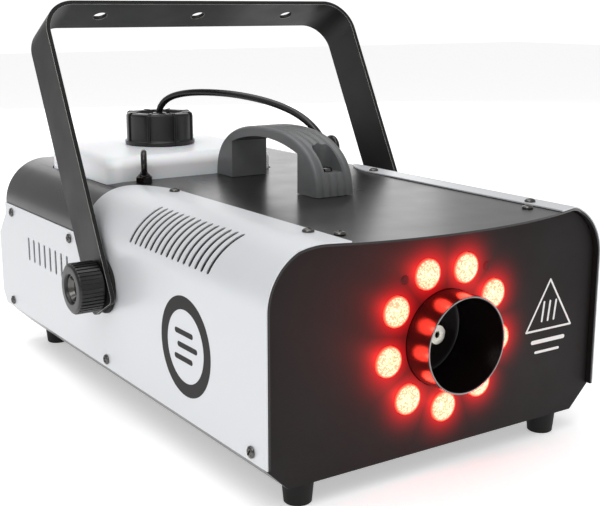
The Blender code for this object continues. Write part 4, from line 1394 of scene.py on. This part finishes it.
# %% [markdown]
# ## Screen print
# The print on the left side is a plain ring with three bars for drifting mist, and the
# front plate has a plain triangle with three bars over two short lines. Ink is a film,
# so each print is a sheet 0.06 mm thick that lies on the paint.

# %% Prints
INK = 0.06


def strip(points, width):
    """Outline of a straight bar with round ends between two points."""
    (ax, ay), (bx, by) = points
    turn = math.degrees(math.atan2(by - ay, bx - ax))
    return arc(bx, by, width / 2, turn - 90, turn + 90, 8) + arc(ax, ay, width / 2, turn + 90,
                                                                 turn + 270, 8)


def side_print():
    middle_back, middle_up, radius = 89.5, 60.7, 30.5
    skin_x = (-HALF_WIDTH - INK, -HALF_WIDTH + 0.02)
    ring = solid("mist_emblem", prism, arc(middle_back, middle_up, radius, 0, 360, 96)[:-1], "X",
                 *skin_x)
    hollow = arc(middle_back, middle_up, radius - 8.2, 0, 360, 96)[:-1]
    punch(ring, prism, hollow, "X", -130, -120)
    for rise, left, right in ((8, -8, 11), (0, -13, 8), (-8, -7, 12)):
        bar = strip(((middle_back + left, middle_up + rise), (middle_back + right, middle_up + rise)),
                    3.4)
        carve(ring, solid("bar", prism, bar, "X", *skin_x), "UNION")
    smooth(ring, 30)
    dress(ring, dark_ink)


def front_print():
    skin_back = (PLATE_BACK - INK, PLATE_BACK + 0.02)
    corners = [(85.3, 90.0), (105.0, 58.4), (66.2, 58.4)]
    strokes = [(pair, 1.3) for pair in zip(corners, corners[1:] + corners[:1])]
    strokes += [(((x, 64.0), (x + 1.6, 76.0)), 1.5) for x in (79.2, 84.4, 89.6)]
    strokes += [(((72.0, 51.0), (99.0, 51.0)), 2.6), (((75.0, 44.2), (95.0, 44.2)), 1.7)]
    bars = [solid("bar", prism, strip(points, width), "Y", *skin_back) for points, width in strokes]
    triangle = fused("plate_print", bars)
    smooth(triangle, 30)
    dress(triangle, white_ink)


side_print()
front_print()

# %% [markdown]
# ## What is inside
# The heater, the pump and their tubes show only through the slots. Their working solids
# already have the right shape, so they keep them and get real finishes.

# %% Finishes of the inner parts
INNER = {
    cast_aluminium: ["heater_block"],
    mineral_wool: ["insulation_jacket"],
    zinc_plate: ["heating_element", "heater_bracket", "pump_body", "pump_plunger", "pump_bracket",
                 "delivery_tube", "tank_cradle"],
    black_abs: ["thermostat", "pickup_tube", "suction_tube"],
    black_rubber: ["cap_gasket"],
    circuit_green: ["led_board", "control_board"],
}
for mat, names in INNER.items():
    for node in names:
        obj = frame["nodes"][node]
        if obj.material_slots:
            obj.material_slots[0].material = mat
        else:
            obj.data.materials.append(mat)

# %% [markdown]
# ## Stage and light
# The machine stands on a plain pale floor in a white studio. Three broad lamps, from the
# front left, from above and from behind, light the case with a white surround. Each lit
# lens gets a small red lamp in front of it, which lights only the plate and the nozzle.

# %% Floor and surround
FLOOR_REACH, FOOT_DOWN = 6000, 15.0


def stage():
    reach = (-FLOOR_REACH, FLOOR_REACH)
    floor = solid("floor", block, reach, reach, (-FOOT_DOWN - 2, -FOOT_DOWN))
    paper = finish("white paper", "#F4F4F4", 0.9, grain=3.0, depth=0.02,
                   Emission_Color=(1, 1, 1, 1), Emission_Strength=0.43)
    floor.data.materials.append(paper)
    world = bpy.data.worlds.new("studio")
    world.use_nodes = True
    tree = world.node_tree
    seen = add(tree, "ShaderNodeLightPath").outputs["Is Camera Ray"]
    level = add(tree, "ShaderNodeMapRange", {"Value": seen, "To Min": 0.56, "To Max": 1.05})
    tree.links.new(level.outputs[0], tree.nodes["Background"].inputs["Strength"])
    tree.nodes["Background"].inputs["Color"].default_value = (1, 1, 1, 1)
    bpy.context.scene.world = world
    bpy.context.scene.view_settings.view_transform = "Standard"


def softbox(name, place, aim, size, power):
    data = bpy.data.lights.new(name, "AREA")
    data.shape = "SQUARE"
    data.size = size
    data.energy = power
    lamp = link(name, data)
    lamp.visible_camera = False
    lamp.location = at(*place)
    lamp.rotation_euler = (at(*aim) - at(*place)).to_track_quat("-Z", "Y").to_euler()


LAMP_WATTS, LAMP_AHEAD = 0.05, 3.0
lit_by_lamps = bpy.data.collections.new("lit by the lamps")
for name in ["front_plate", "nozzle_tube",
             "nozzle_jet"] + [f"lamp_{n}" for n in range(1, LAMP_COUNT + 1)]:
    lit_by_lamps.objects.link(bpy.data.objects[name])


def lamp_light(number, x, up):
    data = bpy.data.lights.new(f"lamp_light_{number}", "POINT")
    data.color = (1.0, 0.03, 0.02)
    data.energy = LAMP_WATTS
    data.shadow_soft_size = 0.003
    lamp = link(data.name, data)
    lamp.location = at(x, -LAMP_AHEAD, up)
    lamp.visible_camera = False
    for source in (lamp, bpy.data.objects[f"lamp_{number}"]):
        source.light_linking.receiver_collection = lit_by_lamps


stage()
softbox("key", (-750, -500, 1300), (0, 150, 80), 0.9, 7)
softbox("top", (-100, 400, 1400), (0, 150, 100), 1.2, 8)
softbox("back", (800, 2200, 600), (0, 150, 100), 1.8, 9)
for number, (x, up) in enumerate(lamp_places(), 1):
    lamp_light(number, x, up)
